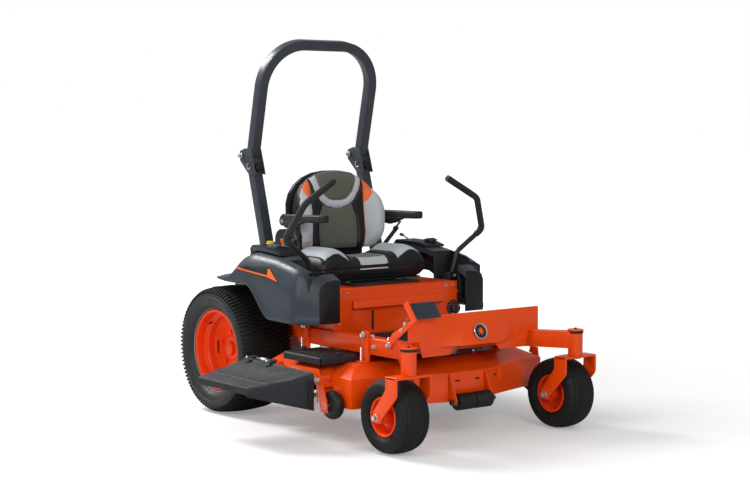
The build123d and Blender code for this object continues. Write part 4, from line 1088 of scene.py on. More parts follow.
def track(points, at):
    """Reads a value between listed (position, value) pairs."""
    if at <= points[0][0]:
        return points[0][1]
    for (p0, v0), (p1, v1) in zip(points, points[1:]):
        if at <= p1:
            return v0 + (v1 - v0) * (at - p0) / (p1 - p0)
    return points[-1][1]


PANEL_EDGE = [(-0.02, 0.112), (0.08, 0.120), (0.16, 0.116), (0.205, 0.098), (0.222, 0.090),
              (0.240, 0.104), (0.290, 0.131), (0.345, 0.147), (0.40, 0.152)]
BAND_EDGE = [(-0.02, 0.160), (0.08, 0.166), (0.20, 0.163), (0.29, 0.164), (0.345, 0.168),
             (0.40, 0.165)]
HEAD_OUTER = [(0.206, 0.030), (0.214, 0.066), (0.240, 0.104), (0.290, 0.138), (0.345, 0.158),
              (0.41, 0.166)]
HEAD_INNER = [(0.243, 0.030), (0.250, 0.056), (0.285, 0.094), (0.340, 0.118), (0.41, 0.130)]
PATCH_EDGE = [(0.225, 0.166), (0.245, 0.184), (0.275, 0.205), (0.305, 0.212), (0.335, 0.200),
              (0.360, 0.172)]
BACK_HALF = [(0.034, 0.400), (0.102, 0.389), (0.160, 0.363), (0.206, 0.327), (0.238, 0.282),
             (0.254, 0.230), (0.260, 0.170), (0.256, 0.090), (0.236, 0.010), (0.224, -0.006)]
WING = [(0.0, 0.012), (0.04, 0.046), (0.08, 0.066), (0.14, 0.074), (0.20, 0.070), (0.25, 0.052),
        (0.29, 0.026), (0.33, 0.006), (0.37, 0.0)]


def ease(value):
    value = max(0.0, min(1.0, value))
    return value * value * (3 - 2 * value)


def swell(piece, grain, pressure, limit):
    """Fills a closed cover with stuffing as cloth, and keeps each point near its start."""
    modify(piece, "REMESH", mode="VOXEL", voxel_size=grain)
    if limit > 0:
        start = [v.co.copy() for v in piece.data.vertices]
        scene = bpy.context.scene
        scene.frame_start, scene.frame_end = 1, 20
        scene.frame_set(1)
        pick(piece)
        cloth = piece.modifiers.new("stuffing", "CLOTH")
        cloth.settings.use_pressure = True
        cloth.settings.uniform_pressure_force = pressure
        cloth.settings.effector_weights.gravity = 0
        cloth.settings.quality = 5
        cloth.point_cache.frame_start, cloth.point_cache.frame_end = 1, 20
        for step in range(1, 21):
            scene.frame_set(step)
            bpy.context.view_layer.update()
        bpy.ops.object.modifier_apply(modifier="stuffing")
        for vertex, place in zip(piece.data.vertices, start):
            move = vertex.co - place
            if move.length > limit:
                vertex.co = place + move * (limit / move.length)
        scene.frame_set(1)
    edit(piece)
    bpy.ops.mesh.vertices_smooth(factor=0.5, repeat=4)
    done()
    return modify(piece, "SUBSURF", levels=1, render_levels=1)


def near_line(points, x, y):
    """Distance from (x, y) to a line through points."""
    best = 1e9
    for (x0, y0), (x1, y1) in zip(points, points[1:]):
        dx, dy = x1 - x0, y1 - y0
        share = max(0.0, min(1.0, ((x - x0) * dx + (y - y0) * dy) / (dx * dx + dy * dy)))
        best = min(best, hypot(x - x0 - share * dx, y - y0 - share * dy))
    return best


def paint_zones(piece, finishes, zone):
    """Gives each face the finish that its zone names."""
    piece.data.materials.clear()
    for finish in finishes:
        piece.data.materials.append(bpy.data.materials[finish])
    for face in piece.data.polygons:
        face.material_index = finishes.index(zone(face.center, face.normal))


def back_zone(place, normal):
    x, rise, out = back_place(place)
    x = abs(x)
    if normal.dot(BACK_OUT) < 0.30 or rise < -0.004:
        return "black vinyl"
    if rise > 0.206 and x < track(HEAD_OUTER, rise):
        if rise > 0.243 and x < track(HEAD_INNER, rise):
            return "back cloth"
        return "pale back cloth"
    if x < track(PANEL_EDGE, rise):
        return "back cloth"
    if x < track(BAND_EDGE, rise):
        return "black vinyl"
    if 0.225 < rise < 0.360 and x < track(PATCH_EDGE, rise):
        return "orange vinyl"
    if rise > 0.345:
        return "black vinyl"
    return "pale back cloth"


def seam_lines():
    """Sewn seams of the backrest's right half, in (across, up)."""
    head = [(0, 0.206)] + [(x, rise) for rise, x in HEAD_OUTER]
    inner = [(0, 0.243)] + [(x, rise) for rise, x in HEAD_INNER]
    panel = [(x, rise) for rise, x in PANEL_EDGE if rise < 0.23]
    band = [(x, rise) for rise, x in BAND_EDGE]
    patch = [(x, rise) for rise, x in PATCH_EDGE]
    return [head, inner, panel, band, patch]


class MOWER_OT_backrest(bpy.types.Operator):
    """Builds the stuffed backrest with its bolsters, sewn panels and piping"""
    bl_idname = "mower.backrest"
    bl_label = "Backrest"

    def execute(self, context):
        looks = context.scene.mower_looks
        outline = BACK_HALF + [(-x, rise) for x, rise in reversed(BACK_HALF)]
        corners = [tuple(on_back(x, rise, -0.056)) for x, rise in outline]
        pad = plate("backrest_pad", rounded(corners, 0.04, 4), BACK_OUT * 0.050, 0.012, 3)
        modify(pad, "REMESH", mode="VOXEL", voxel_size=0.0075)
        for vertex in pad.data.vertices:
            x, rise, out = back_place(vertex.co)
            if out > -0.030:
                wing = track(WING, rise) * ease((abs(x) - 0.156) / 0.056)
                wing *= 1 - 0.22 * ease((abs(x) - 0.228) / 0.034)
                head = exp(-((rise - 0.31) / 0.07) ** 2) * exp(-(x / 0.13) ** 4)
                lumbar = exp(-((rise - 0.06) / 0.09) ** 2) * exp(-(x / 0.10) ** 4)
                push = wing + 0.007 * head + 0.004 * lumbar - 0.004
                vertex.co += BACK_OUT * push * min(1.0, (out + 0.030) / 0.022)
        swell(pad, 0.0058, 4.0, looks.pad_swell * 0.55)
        seams = seam_lines()
        for vertex in pad.data.vertices:
            x, rise, out = back_place(vertex.co)
            if out > -0.028:
                gap = min(near_line(seam, abs(x), rise) for seam in seams)
                draw = looks.seam_depth * exp(-(gap / 0.0065) ** 2)
                draw += 0.0025 * (1 - exp(-(gap / 0.016) ** 2)) * -1
                vertex.co -= BACK_OUT * draw * min(1.0, (out + 0.028) / 0.012)
        pick(pad)
        bpy.ops.object.shade_smooth()
        paint_zones(pad, ["black vinyl", "back cloth", "pale back cloth", "orange vinyl"], back_zone)
        dress(pad, None, "seat", ["seat_back"])
        surface = bpy.context.evaluated_depsgraph_get()
        body = pad.evaluated_get(surface)
        cords = []
        for points, finish in ((PANEL_EDGE[:5], "black vinyl"), (BAND_EDGE, "orange vinyl"),
                               (HEAD_OUTER, "black vinyl")):
            for s in (-1, 1):
                path = []
                for (r0, x0), (r1, x1) in zip(points, points[1:]):
                    pieces = max(2, int(hypot(r1 - r0, x1 - x0) / 0.006))
                    for k in range(pieces):
                        share = k / pieces
                        start = on_back(s * (x0 + (x1 - x0) * share), r0 + (r1 - r0) * share, 0.10)
                        hit, spot, _, _ = body.ray_cast(start, -BACK_OUT, distance=0.18)
                        if hit and back_place(spot)[2] > -0.030:
                            path.append(tuple(spot + BACK_OUT * 0.0004))
                if len(path) > 3:
                    cords.append((bar("piping", path, 0.0019, 0, 4, 2), finish))
        for finish in ("black vinyl", "orange vinyl"):
            mine = [piece for piece, kind in cords if kind == finish]
            if mine:
                name = "back_piping_" + finish.split()[0]
                dress(joined(name, mine), finish, "seat")
        round_node("seat_shell", "black plastic", 0.004, 3)
        return {"FINISHED"}


CUSHION_PROFILE = [(0, 0.772), (0.060, 0.773), (0.110, 0.779), (0.150, 0.792), (0.190, 0.812),
                   (0.224, 0.824), (0.262, 0.820), (0.300, 0.803), (0.328, 0.775), (0.341, 0.742),
                   (0.338, 0.712), (0.322, 0.688)]


def cushion_zone(place, normal):
    x = abs(place.x)
    if normal.z < 0.16 and not (x < 0.062 and place.z > 0.752):
        return "black vinyl"
    if x < 0.108:
        if place.y < -0.478:
            return "pale cushion cloth" if x < 0.085 else "black vinyl"
        return "cushion cloth"
    if x < 0.148:
        return "black vinyl"
    if x < 0.296 and place.y > -0.515:
        return "pale cushion cloth"
    return "black vinyl"


class MOWER_OT_cushion(bpy.types.Operator):
    """Builds the stuffed seat cushion with its raised bolsters and sewn panels"""
    bl_idname = "mower.cushion"
    bl_label = "Seat cushion"

    def execute(self, context):
        looks = context.scene.mower_looks
        half = CUSHION_PROFILE + [(0.318, 0.672)]
        section = [(x * 0.975, z - 0.004 if z > 0.69 else z + 0.002) for x, z in half]
        ring = section + [(-x, z) for x, z in reversed(section) if x > 0]
        pad = plate("cushion_pad", front_view(ring, -0.528), (0, 0.262, 0), 0.016, 3)
        modify(pad, "REMESH", mode="VOXEL", voxel_size=0.009)
        for vertex in pad.data.vertices:
            place = vertex.co
            lift = max(0.0, min(1.0, (place.z - 0.700) / 0.06))
            nose = max(0.0, (-0.455 - place.y) / 0.075)
            place.z -= lift * 0.020 * nose * nose * (1.0 if abs(place.x) > 0.12 else 0.7)
            tuck = max(0.0, (0.720 - place.z) / 0.05)
            place.y += 0.014 * tuck * tuck if place.y < -0.45 else 0
        swell(pad, 0.0062, 4.0, looks.pad_swell * 0.5)
        lines = (0.108, 0.148, 0.296)
        for vertex in pad.data.vertices:
            place = vertex.co
            if place.z > 0.735 and place.y > -0.522:
                gap = min(abs(abs(place.x) - line) for line in lines)
                place.z -= looks.seam_depth * exp(-(gap / 0.006) ** 2)
                rows = min(abs((place.y + 0.275) - k * -0.062) for k in range(1, 4))
                if abs(place.x) < 0.104:
                    place.z -= 0.0035 * exp(-(rows / 0.006) ** 2)
            hem = abs(place.z - 0.724)
            if hem < 0.02 and (place.y < -0.48 or abs(place.x) > 0.3):
                inward = Vector((place.x * 0.4, place.y + 0.40, 0)).normalized()
                place -= inward * 0.003 * exp(-(hem / 0.005) ** 2)
        pick(pad)
        bpy.ops.object.shade_smooth()
        paint_zones(pad, ["black vinyl", "cushion cloth", "pale cushion cloth"], cushion_zone)
        dress(pad, None, "seat", ["seat_cushion"])
        body = pad.evaluated_get(bpy.context.evaluated_depsgraph_get())
        cords = []
        for line in lines:
            for s in (-1, 1):
                path = []
                for k in range(46):
                    start = Vector((s * line, -0.272 - 0.0055 * k, 0.90))
                    hit, spot, _, _ = body.ray_cast(start, -UP, distance=0.16)
                    if hit:
                        path.append(tuple(spot + UP * 0.0004))
                if len(path) > 3:
                    cords.append(bar("piping", path, 0.0019, 0, 4, 2))
        dress(joined("cushion_piping", cords), "black vinyl", "seat")
        return {"FINISHED"}


class MOWER_OT_seat_base(bpy.types.Operator):
    """Adds the suspension below the seat: folded cover, slide rails and the adjusting handle"""
    bl_idname = "mower.seat_base"
    bl_label = "Seat base"

    def execute(self, context):
        round_node("seat_mount", "black satin paint", 0.0012)
        folds = []
        for k in range(3):
            z = 0.6545 + 0.003 * k
            folds.append(box_piece("cover_fold", (-0.130, -0.470 + 0.004 * (k % 2), z),
                                   (0.130, -0.235 - 0.004 * (k % 2), z + 0.0028), 0.001, 2))
        dress(joined("suspension_cover", folds), "black plastic", "seat_base")
        rails = []
        for s in (-1, 1):
            rails.append(box_piece("slide_rail", (s * 0.158 - 0.012, -0.520, 0.6590),
                                   (s * 0.158 + 0.012, -0.190, 0.6625), 0.0008))
        dress(joined("slide_rails", rails), "brushed steel", "seat_base")
        rod = bar("slide_handle", [(-0.158, -0.500, 0.6555), (-0.158, -0.556, 0.6555),
                                   (-0.050, -0.560, 0.6555), (0.050, -0.560, 0.6555),
                                   (0.158, -0.556, 0.6555), (0.158, -0.500, 0.6555)], 0.0042, 0.02)
        dress(rod, "black satin paint", "seat_base")
        return {"FINISHED"}


class MOWER_OT_armrests(bpy.types.Operator):
    """Builds the padded armrests with their pivot covers"""
    bl_idname = "mower.armrests"
    bl_label = "Armrests"

    def execute(self, context):
        plan = rounded([(0.3000, -0.186, 0.946), (0.3235, -0.186, 0.946), (0.3235, -0.350, 0.946),
                        (0.3160, -0.492, 0.950), (0.3030, -0.523, 0.952), (0.2750, -0.523, 0.952),
                        (0.2640, -0.500, 0.951), (0.2660, -0.375, 0.947), (0.2990, -0.345, 0.946)],
                       [0.01, 0.01, 0.03, 0.014, 0.012, 0.012, 0.012, 0.02, 0.02], 4)
        arm = plate("armrest_pad", plan, (0, 0, 0.037), 0.009, 4)
        web = plate("armrest_web", side_view(rounded([(0, -0.372, 0.950), (0, -0.250, 0.914),
                                                       (0, -0.205, 0.918), (0, -0.192, 0.950)],
                                                      [0.008, 0.02, 0.012, 0.008], 4) and
                                              [(-0.372, 0.950), (-0.300, 0.922), (-0.250, 0.912),
                                               (-0.214, 0.916), (-0.192, 0.950)], 0.2990),
                    (0.0240, 0, 0), 0.005, 3)
        pivot = spun("armrest_pivot", [(0.0082, 0), (0.0225, 0), (0.0240, 0.0025), (0.0240, 0.0215),
                                       (0.0225, 0.0240), (0.0082, 0.0240)], 36)
        put(pivot, (0.2985, -0.196, 0.948), LEFT)
        arm = soften(joined("armrest_pad", [arm, web, pivot]), 0, smooth=45)
        for side in BOTH:
            piece = (another if side == "left" else mirrored)(arm, f"armrest_{side}_pad")
            dress(piece, "armrest skin", "armrest_" + side,
                            ["armrest_" + side])
            cap = spun(f"armrest_cap_{side}", [(0, 0), (0.0120, 0), (0.0115, 0.0018), (0, 0.0022)], 28,
                       open_ended=True)
            put(soften(cap, 0), (SIDE[side] * 0.3215, -0.196, 0.948), LEFT * SIDE[side])
            dress(cap, "bright steel", "armrest_" + side)
        bpy.data.objects.remove(arm)
        return {"FINISHED"}


class MOWER_OT_seat_belt(bpy.types.Operator):
    """Builds the belt: buckle on its stalk, retracted webbing and steel tongue"""
    bl_idname = "mower.seat_belt"
    bl_label = "Seat belt"

    def execute(self, context):
        stalk = bar("belt_stalk", [(-0.283, -0.237, 0.672), (-0.283, -0.237, 0.740),
                                   (-0.2825, -0.237, 0.806)], 0.0065, 0.03)
        shell = box_piece("buckle_shell", (-0.2965, -0.2555, 0.800), (-0.2685, -0.2185, 0.857),
                          0.006, 4)
        dress(joined("belt_buckle", [shell, stalk]), "black plastic", "seat",
              ["seat_belt"])
        button = box_piece("buckle_button", (-0.2935, -0.2530, 0.8560), (-0.2715, -0.2370, 0.8590),
                           0.0012, 3)
        dress(button, "red plastic", "seat")
        strap = plate("belt_strap", side_view([(-0.246, 0.672), (-0.2415, 0.672), (-0.2385, 0.806),
                                               (-0.248, 0.822), (-0.330, 0.893), (-0.334, 0.889),
                                               (-0.254, 0.818), (-0.2435, 0.800)], 0.268),
                      (0.028, 0, 0), 0.0008)
        dress(strap, "belt webbing", "seat")
        head = plate("tongue_grip", side_view([(-0.318, 0.893), (-0.330, 0.881), (-0.346, 0.896),
                                               (-0.333, 0.909)], 0.270), (0.024, 0, 0), 0.003, 3)
        dress(head, "black plastic", "seat")
        blade = plate("tongue_blade", side_view([(-0.335, 0.9035), (-0.3375, 0.901), (-0.3700, 0.9310),
                                                 (-0.3675, 0.9335)], 0.274), (0.016, 0, 0), 0.0008)
        edit(blade)
        picked = choose(blade, lambda f: f.normal.dot(Vector((0, 0.68, 0.73))) > 0.9
                        and f.calc_area() > 2e-4)
        if picked:
            bpy.ops.mesh.inset(thickness=0.0045, depth=-0.0008)
        done()
        dress(blade, "bright steel", "seat")
        return {"FINISHED"}


# ---- fenders, consoles and controls ----
FENDER_TOP = [(-0.756, 0.704), (-0.635, 0.762), (-0.450, 0.800), (-0.260, 0.816), (-0.170, 0.787),
              (-0.092, 0.704), (-0.040, 0.692), (0.016, 0.686), (0.032, 0.674)]
FENDER_LOW = [(-0.756, 0.512), (-0.751, 0.498), (-0.436, 0.502), (-0.400, 0.527), (-0.300, 0.633),
              (-0.240, 0.661), (-0.144, 0.655), (0.020, 0.662), (0.032, 0.672)]
FENDER_RIDGE = [(-0.756, 0.43), (-0.640, 0.50), (-0.520, 0.59), (-0.420, 0.67), (-0.300, 0.57),
                (-0.200, 0.46), (0.030, 0.45)]


def decal(name, corners, target, side, finish, lift=0.0006):
    """A thin film laid on the outer side of a piece: four (y, z) corners, in order round it."""
    steps = 14
    clear_selection()
    bpy.ops.mesh.primitive_grid_add(x_subdivisions=steps, y_subdivisions=steps, size=1)
    film = named(name)
    a, b, c, d = (Vector(corner) for corner in corners)
    for vertex in film.data.vertices:
        u, v = vertex.co.x + 0.5, vertex.co.y + 0.5
        place = a.lerp(b, u).lerp(d.lerp(c, u), v)
        start = Vector((SIDE[side] * 0.75, place.x, place.y))
        spot = target.ray_cast(start, -LEFT * SIDE[side], distance=0.4)[1]
        vertex.co = spot + LEFT * SIDE[side] * lift
    modify(film, "SOLIDIFY", thickness=0.0006, offset=0)
    tidy_faces(film)
    return dress(soften(film, 0), finish, "chassis")


class MOWER_OT_fenders(bpy.types.Operator):
    """Builds the moulded fenders over the drive wheels as thin shells, with their trim wedges"""
    bl_idname = "mower.fenders"
    bl_label = "Fenders"

    def execute(self, context):
        stations = [-0.7555, -0.749, -0.735, -0.706, -0.703, -0.675, -0.648, -0.610, -0.565, -0.517,
                    -0.514, -0.470, -0.436, -0.420, -0.400, -0.370, -0.335, -0.300, -0.270, -0.240,
                    -0.205, -0.170, -0.144, -0.118, -0.092, -0.060, -0.020, 0.010, 0.024, 0.0305]
        inner, outer = 0.3786, 0.5795
        bands = 13
        clear_selection()
        bpy.ops.mesh.primitive_grid_add(x_subdivisions=len(stations) - 1, y_subdivisions=bands - 1,
                                        size=1)
        shell = named("fender_left_shell")
        order = sorted(shell.data.vertices, key=lambda v: (round(v.co.x, 4), round(v.co.y, 4)))
        for i, y in enumerate(stations):
            top, low = track(FENDER_TOP, y), track(FENDER_LOW, y)
            high = top - low
            share = min(1.0, high / 0.13)
            side = outer - 0.080 * max(0.0, (-0.650 - y) / 0.106) - 0.022 * max(0.0, (y + 0.15) / 0.18) ** 2
            face = side - 0.006 * share
            ridge = low + high * track(FENDER_RIDGE, y)
            section = [(inner, top - 0.030 * share), (inner + 0.003, top - 0.004 * share),
                       (inner + 0.012, top), (inner + 0.045, top), (face - 0.072, top - 0.003 * share),
                       (face - 0.040, top - 0.013 * share), (face - 0.022, top - 0.032 * share),
                       (face - 0.001, ridge + 0.004 * share), (face, ridge - 0.006 * share),
                       (face, low + 0.036 * share), (side, low + 0.027 * share),
                       (side, low + 0.006 * share), (side - 0.006 * share, low)]
            for k, (x, z) in enumerate(section):
                order[i * bands + k].co = (x, y, max(z, low + 0.0004 * (bands - k)))
        edit(shell)
        bpy.ops.mesh.normals_make_consistent(inside=False)
        choose(shell, lambda f: -0.7035 < middle(f).y < -0.5165 and middle(f).x < 0.500
               and middle(f).z > 0.60)
        bpy.ops.mesh.delete(type="FACE")
        done()
        if sum(p.normal.z for p in shell.data.polygons) < 0:
            edit(shell)
            bpy.ops.mesh.flip_normals()
            done()
        modify(shell, "SOLIDIFY", thickness=0.0045, offset=-1, use_even_offset=True)
        modify(shell, "BEVEL", width=0.0018, segments=2, limit_method="ANGLE",
               angle_limit=radians(50))
        modify(shell, "SUBSURF", levels=1, render_levels=1)
        soften(shell, 0, smooth=40)
        well = plate("fender_well", top_view([(0.380, -0.703), (0.512, -0.703), (0.523, -0.690),
                                              (0.524, -0.530), (0.512, -0.516), (0.380, -0.516)],
                                             0.5585), (0, 0, 0.004), 0.001)
        walls = []
        for y in (-0.7045, -0.5155):
            high = track(FENDER_TOP, y) - 0.006
            walls.append(plate("well_wall", front_view([(0.380, 0.560), (0.520, 0.560),
                                                        (0.512, high), (0.380, high)], y),
                               (0, 0.003, 0), 0.0008))
        walls.append(plate("well_wall", side_view([(-0.703, 0.560), (-0.516, 0.560),
                                                   (-0.516, track(FENDER_TOP, -0.516) - 0.008),
                                                   (-0.600, track(FENDER_TOP, -0.600) - 0.008),
                                                   (-0.703, track(FENDER_TOP, -0.703) - 0.008)],
                                                  0.5215), (0.003, 0, 0), 0.0008))
        well = joined("fender_well", [well] + walls)
        soften(well, 0)
        nose = plate("fender_nose", [(0.383, -0.7555, 0.504), (0.490, -0.7555, 0.504),
                                     (0.499, -0.7555, 0.518), (0.499, -0.7555, 0.655),
                                     (0.488, -0.7555, 0.684), (0.462, -0.7555, 0.699),
                                     (0.383, -0.7555, 0.702)], (0, 0.006, 0), 0.002)
        for piece, finish in ((shell, "slate body plastic"), (well, "charcoal plastic"),
                              (nose, "black plastic")):
            other = mirrored(piece, piece.name.replace("left", "right") if "left" in piece.name
                             else piece.name + "_right")
            if "left" not in piece.name:
                named_left = piece.name + "_left"
                piece.name = named_left
            for side, mine in (("left", piece), ("right", other)):
                dress(mine, finish, "chassis",
                      ["fender_" + side] if piece is shell else ())
        surface = bpy.context.evaluated_depsgraph_get()
        films = (("band", [(-0.150, 0.739), (-0.436, 0.752), (-0.526, 0.682), (-0.440, 0.700)],
                  "black plastic", 0.0012),
                 ("line", [(-0.120, 0.738), (-0.432, 0.713), (-0.436, 0.705), (-0.122, 0.731)],
                  "orange plastic", 0.0020),
                 ("wedge", [(-0.428, 0.740), (-0.438, 0.744), (-0.516, 0.687), (-0.434, 0.704)],
                  "orange plastic", 0.0020))
        for side in BOTH:
            target = bpy.data.objects[f"fender_{side}_shell"].evaluated_get(surface)
            for key, corners, finish, lift in films:
                decal(f"fender_{key}_{side}", corners, target, side, finish, lift)
            bolts(f"fender_bolts_{side}", "chassis",
                  [((SIDE[side] * x, -0.010, 0.6585), -UP, 0.0100) for x in (0.470, 0.530)])
        return {"FINISHED"}


class MOWER_OT_consoles(bpy.types.Operator):
    """Rounds the side consoles and adds their side trims, labels, throttle marks and cup holder rim"""
    bl_idname = "mower.consoles"
    bl_label = "Consoles"

    def execute(self, context):
        for side in BOTH:
            round_node("console_" + side, "black plastic", 0.004, 3)
            s = SIDE[side]
            drop = 0.0 if s < 0 else 0.012
            trim = plate(f"console_trim_{side}",
                         side_view([(-0.440, 0.808 - drop), (-0.215, 0.818 - drop),
                                    (-0.212, 0.836 - drop), (-0.260, 0.838 - drop),
                                    (-0.420, 0.815 - drop)], s * 0.5052), (s * 0.003, 0, 0), 0.0015)
            dress(trim, "slate body plastic", "chassis")
        rim = spun("cup_rim", [(0.0275, -0.002), (0.0325, -0.002), (0.0340, 0.0010), (0.0325, 0.0032),
                               (0.0292, 0.0032), (0.0278, 0.0016)], 48)
        put(soften(rim, 0), (-0.458, -0.380, 0.8375))
        dress(rim, "dark ribbed plastic", "chassis")
        label = box_piece("console_label", (-0.490, -0.340, 0.8390), (-0.444, -0.314, 0.8406),
                          0.0005, 1)
        dress(label, "blue label film", "chassis")
        marks = [box_piece("throttle_mark", (-0.4110, y - 0.0035, 0.8392), (-0.4075, y + 0.0035, 0.8405),
                           0.0003, 1) for y in (-0.368, -0.345, -0.322)]
        dress(joined("throttle_marks", marks), "pale label film", "chassis")
        return {"FINISHED"}


class MOWER_OT_controls(bpy.types.Operator):
    """Builds the pull knob, throttle, brake lever, fuel cap and height dial"""
    bl_idname = "mower.controls"
    bl_label = "Controls"

    def execute(self, context):
        knob = spun("blade_knob", [(0, 0.0395), (0.0135, 0.0390), (0.0170, 0.0372), (0.0180, 0.0345),
                                   (0.0165, 0.0310), (0.0178, 0.0280), (0.0188, 0.0250),
                                   (0.0150, 0.0225), (0.0070, 0.0205), (0.0059, 0.0190),
                                   (0.0059, -0.0050), (0, -0.0050)], 40, open_ended=True)
        put(soften(knob, 0, smooth=35), (-0.455, -0.290, 0.8215))
        dress(knob, "yellow plastic", "pto_knob", ["pto_knob"])
        stem = box_piece("throttle_stem", (-0.4235, -0.3495, 0.8190), (-0.4165, -0.3405, 0.8560),
                         0.0012)
        pad = box_piece("throttle_pad", (-0.4295, -0.3530, 0.8520), (-0.4105, -0.3370, 0.8735),
                        0.0035, 3)
        dress(pad, "orange plastic", "throttle_lever", ["throttle_lever"])
        dress(stem, "bright steel", "throttle_lever")
        grip = spun("brake_grip", [(0, 0.0270), (0.0055, 0.0262), (0.0080, 0.0235), (0.0082, 0.0150),
                                   (0.0070, 0.0060), (0.0062, 0.0), (0, 0)], 32, open_ended=True)
        stem = plate("brake_stem", side_view([(-0.286, 0.825), (-0.274, 0.825), (-0.210, 0.847),
                                              (-0.212, 0.853)], 0.4165), (0.007, 0, 0), 0.001)
        put(soften(grip, 0), (0.420, -0.2225, 0.8485), (0, 1, 0.12))
        dress(grip, "black plastic", "brake_lever", ["brake_lever"])
        dress(stem, "brushed steel", "brake_lever")
        cap = spun("fuel_cap_ribbed", [(0, 0.0085), (0.0280, 0.0083), (0.0325, 0.0074), (0.0345, 0.0060),
                                       (0.0356, 0.0015), (0.0350, 0.0), (0.0218, 0.0), (0.0218, -0.018),
                                       (0, -0.018)], 64, open_ended=True)
        edit(cap)
        choose(cap, lambda f: 0.002 < middle(f).z < 0.006 and hypot(*middle(f).xy) > 0.033
               and tread_column(middle(f), 64) % 4 < 2)
        bpy.ops.mesh.inset(thickness=0.0004, depth=-0.0016, use_boundary=True)
        done()
        ridge = box_piece("cap_ridge", (-0.0265, -0.0055, 0.0070), (0.0265, 0.0055, 0.0128), 0.0025, 3)
        cap = joined("fuel_cap_ribbed", [cap, ridge])
        put(soften(cap, 0, smooth=30), (0.462, -0.390, 0.8284))
        dress(cap, "black plastic", "fuel_cap", ["fuel_cap"])
        centre = Vector((0.350, -0.7022, 0.520))
        dial = spun("height_dial_body", [(0, 0.0270), (0.0225, 0.0268), (0.0250, 0.0245),
                                         (0.0258, 0.0020), (0.0250, 0.0), (0, 0)], 48, open_ended=True)
        edit(dial)
        choose(dial, lambda f: 0.003 < middle(f).z < 0.024 and tread_column(middle(f), 48) % 4 == 0)
        bpy.ops.mesh.inset(thickness=0.0004, depth=-0.0014, use_boundary=True)
        done()
        wing = box_piece("dial_wing", (-0.0048, -0.0235, 0.0255), (0.0048, 0.0235, 0.0376), 0.003, 3)
        dial = joined("height_dial_body", [dial, wing])
        put(soften(dial, 0, smooth=32), centre, FRONT)
        dress(dial, "slate body plastic", "height_dial", ["height_dial"])
        mark = box_piece("dial_mark", (0.3487, -0.7402, 0.5300), (0.3513, -0.7396, 0.5425), 0.0002, 1)
        dress(mark, "orange plastic", "height_dial")
        scale = spun("dial_scale", [(0.0275, 0), (0.0400, 0), (0.0400, 0.0012), (0.0275, 0.0012)], 56)
        put(soften(scale, 0), (0.350, -0.7000, 0.520), FRONT)
        dress(scale, "black plastic", "chassis")
        ticks = []
        for k in range(12):
            angle = radians(-135 + 270 * k / 11)
            tick = box_piece("dial_tick", (-0.0008, 0.0300, 0.0010), (0.0008, 0.0375, 0.0017),
                             0.0001, 1)
            ticks.append(put(tick, (0.350, -0.7000, 0.520), FRONT, angle))
        dress(joined("dial_ticks", ticks), "pale label film", "chassis")
        return {"FINISHED"}


# ---- mower deck ----
class MOWER_OT_deck(bpy.types.Operator):
    """Rounds the deck and its brackets and adds apron slots, tabs, studs and bolts"""
    bl_idname = "mower.deck"
    bl_label = "Mower deck"

    def execute(self, context):
        round_node("deck_shell", "gloss orange paint", 0.004, 3, 20, 24)
        round_node("deck_brackets", "gloss orange paint", 0.002)
        places = []
        for s in (-1, 1):
            for y in (-0.975, -0.515):
                places.append(((s * 0.4175, y, 0.474), LEFT * s, 0.0150))
            places.append(((s * 0.6510, -1.000, 0.180), LEFT * s, 0.0120, 0.35))
            for y in (-0.955, -0.937):
                places.append(((s * 0.6512, y, 0.290), LEFT * s, 0.0080))
            for dx in (-0.05, 0.05):
                places.append(((s * 0.120, -1.2485, 0.172), LEFT * s, 0.0145))
        for x, y in ((-0.52, -0.60), (0.52, -0.60), (-0.20, -1.02), (0.20, -1.02), (-0.30, -0.58),
                     (0.30, -0.58)):
            places.append(((x, y, 0.3535), UP, 0.0100))
        bolts("deck_bolts", "deck", places)
        studs = []
        for s in (-1, 1):
            for y in (-0.975, -0.515):
                x = s * 0.430
                rod = spun("hanger_stud", [(0, 0.062), (0.0044, 0.061), (0.0055, 0.058)] +
                           [(0.0055 if k % 2 else 0.0047, 0.056 - 0.0022 * k) for k in range(24)] +
                           [(0.0055, 0), (0, 0)], 16, open_ended=True)
                studs.append(put(rod, (x, y, 0.358)))
        dress(joined("hanger_studs", studs), "bright steel", "deck")
        slots = []
        for x in (-0.190, -0.060, 0.060, 0.190):
            y = -1.2103 if abs(x) < 0.1 else -1.1755
            turn = 0 if abs(x) < 0.1 else -SIDE["left" if x > 0 else "right"] * 0.35
            piece = plate("apron_slot", rounded([(-0.014, -0.004, 0), (0.014, -0.004, 0),
                                                 (0.014, 0.004, 0), (-0.014, 0.004, 0)], 0.0039, 4),
                          (0, 0, 0.0012), 0.0003, 1)
            slots.append(put(piece, (x, y, 0.262), Vector((turn, -1, 0)).normalized()))
        dress(joined("apron_slots", slots), "black plastic", "deck")
        tabs = []
        for x in (-0.250, 0.250):
            s = 1 if x > 0 else -1
            tabs.append(plate("apron_tab", [(x - 0.022, -1.1560, 0.2980), (x + 0.022, -1.1560, 0.2980),
                                            (x + 0.022, -1.1560, 0.2300), (x - 0.022, -1.1560, 0.2300)],
                              (0, -0.0055, 0), 0.0015))
        for s in (-1, 1):
            tabs.append(plate("skirt_rib", side_view([(-0.905, 0.292), (-0.905, 0.180), (-0.897, 0.180),
                                                      (-0.897, 0.292)], s * 0.6180),
                              (s * 0.0040, 0, 0), 0.001))
        dress(joined("deck_tabs", tabs), "gloss orange paint", "deck")
        for name in ("blade_left", "blade_middle", "blade_right"):
            round_node(name, "blade steel", 0.0008)
        return {"FINISHED"}


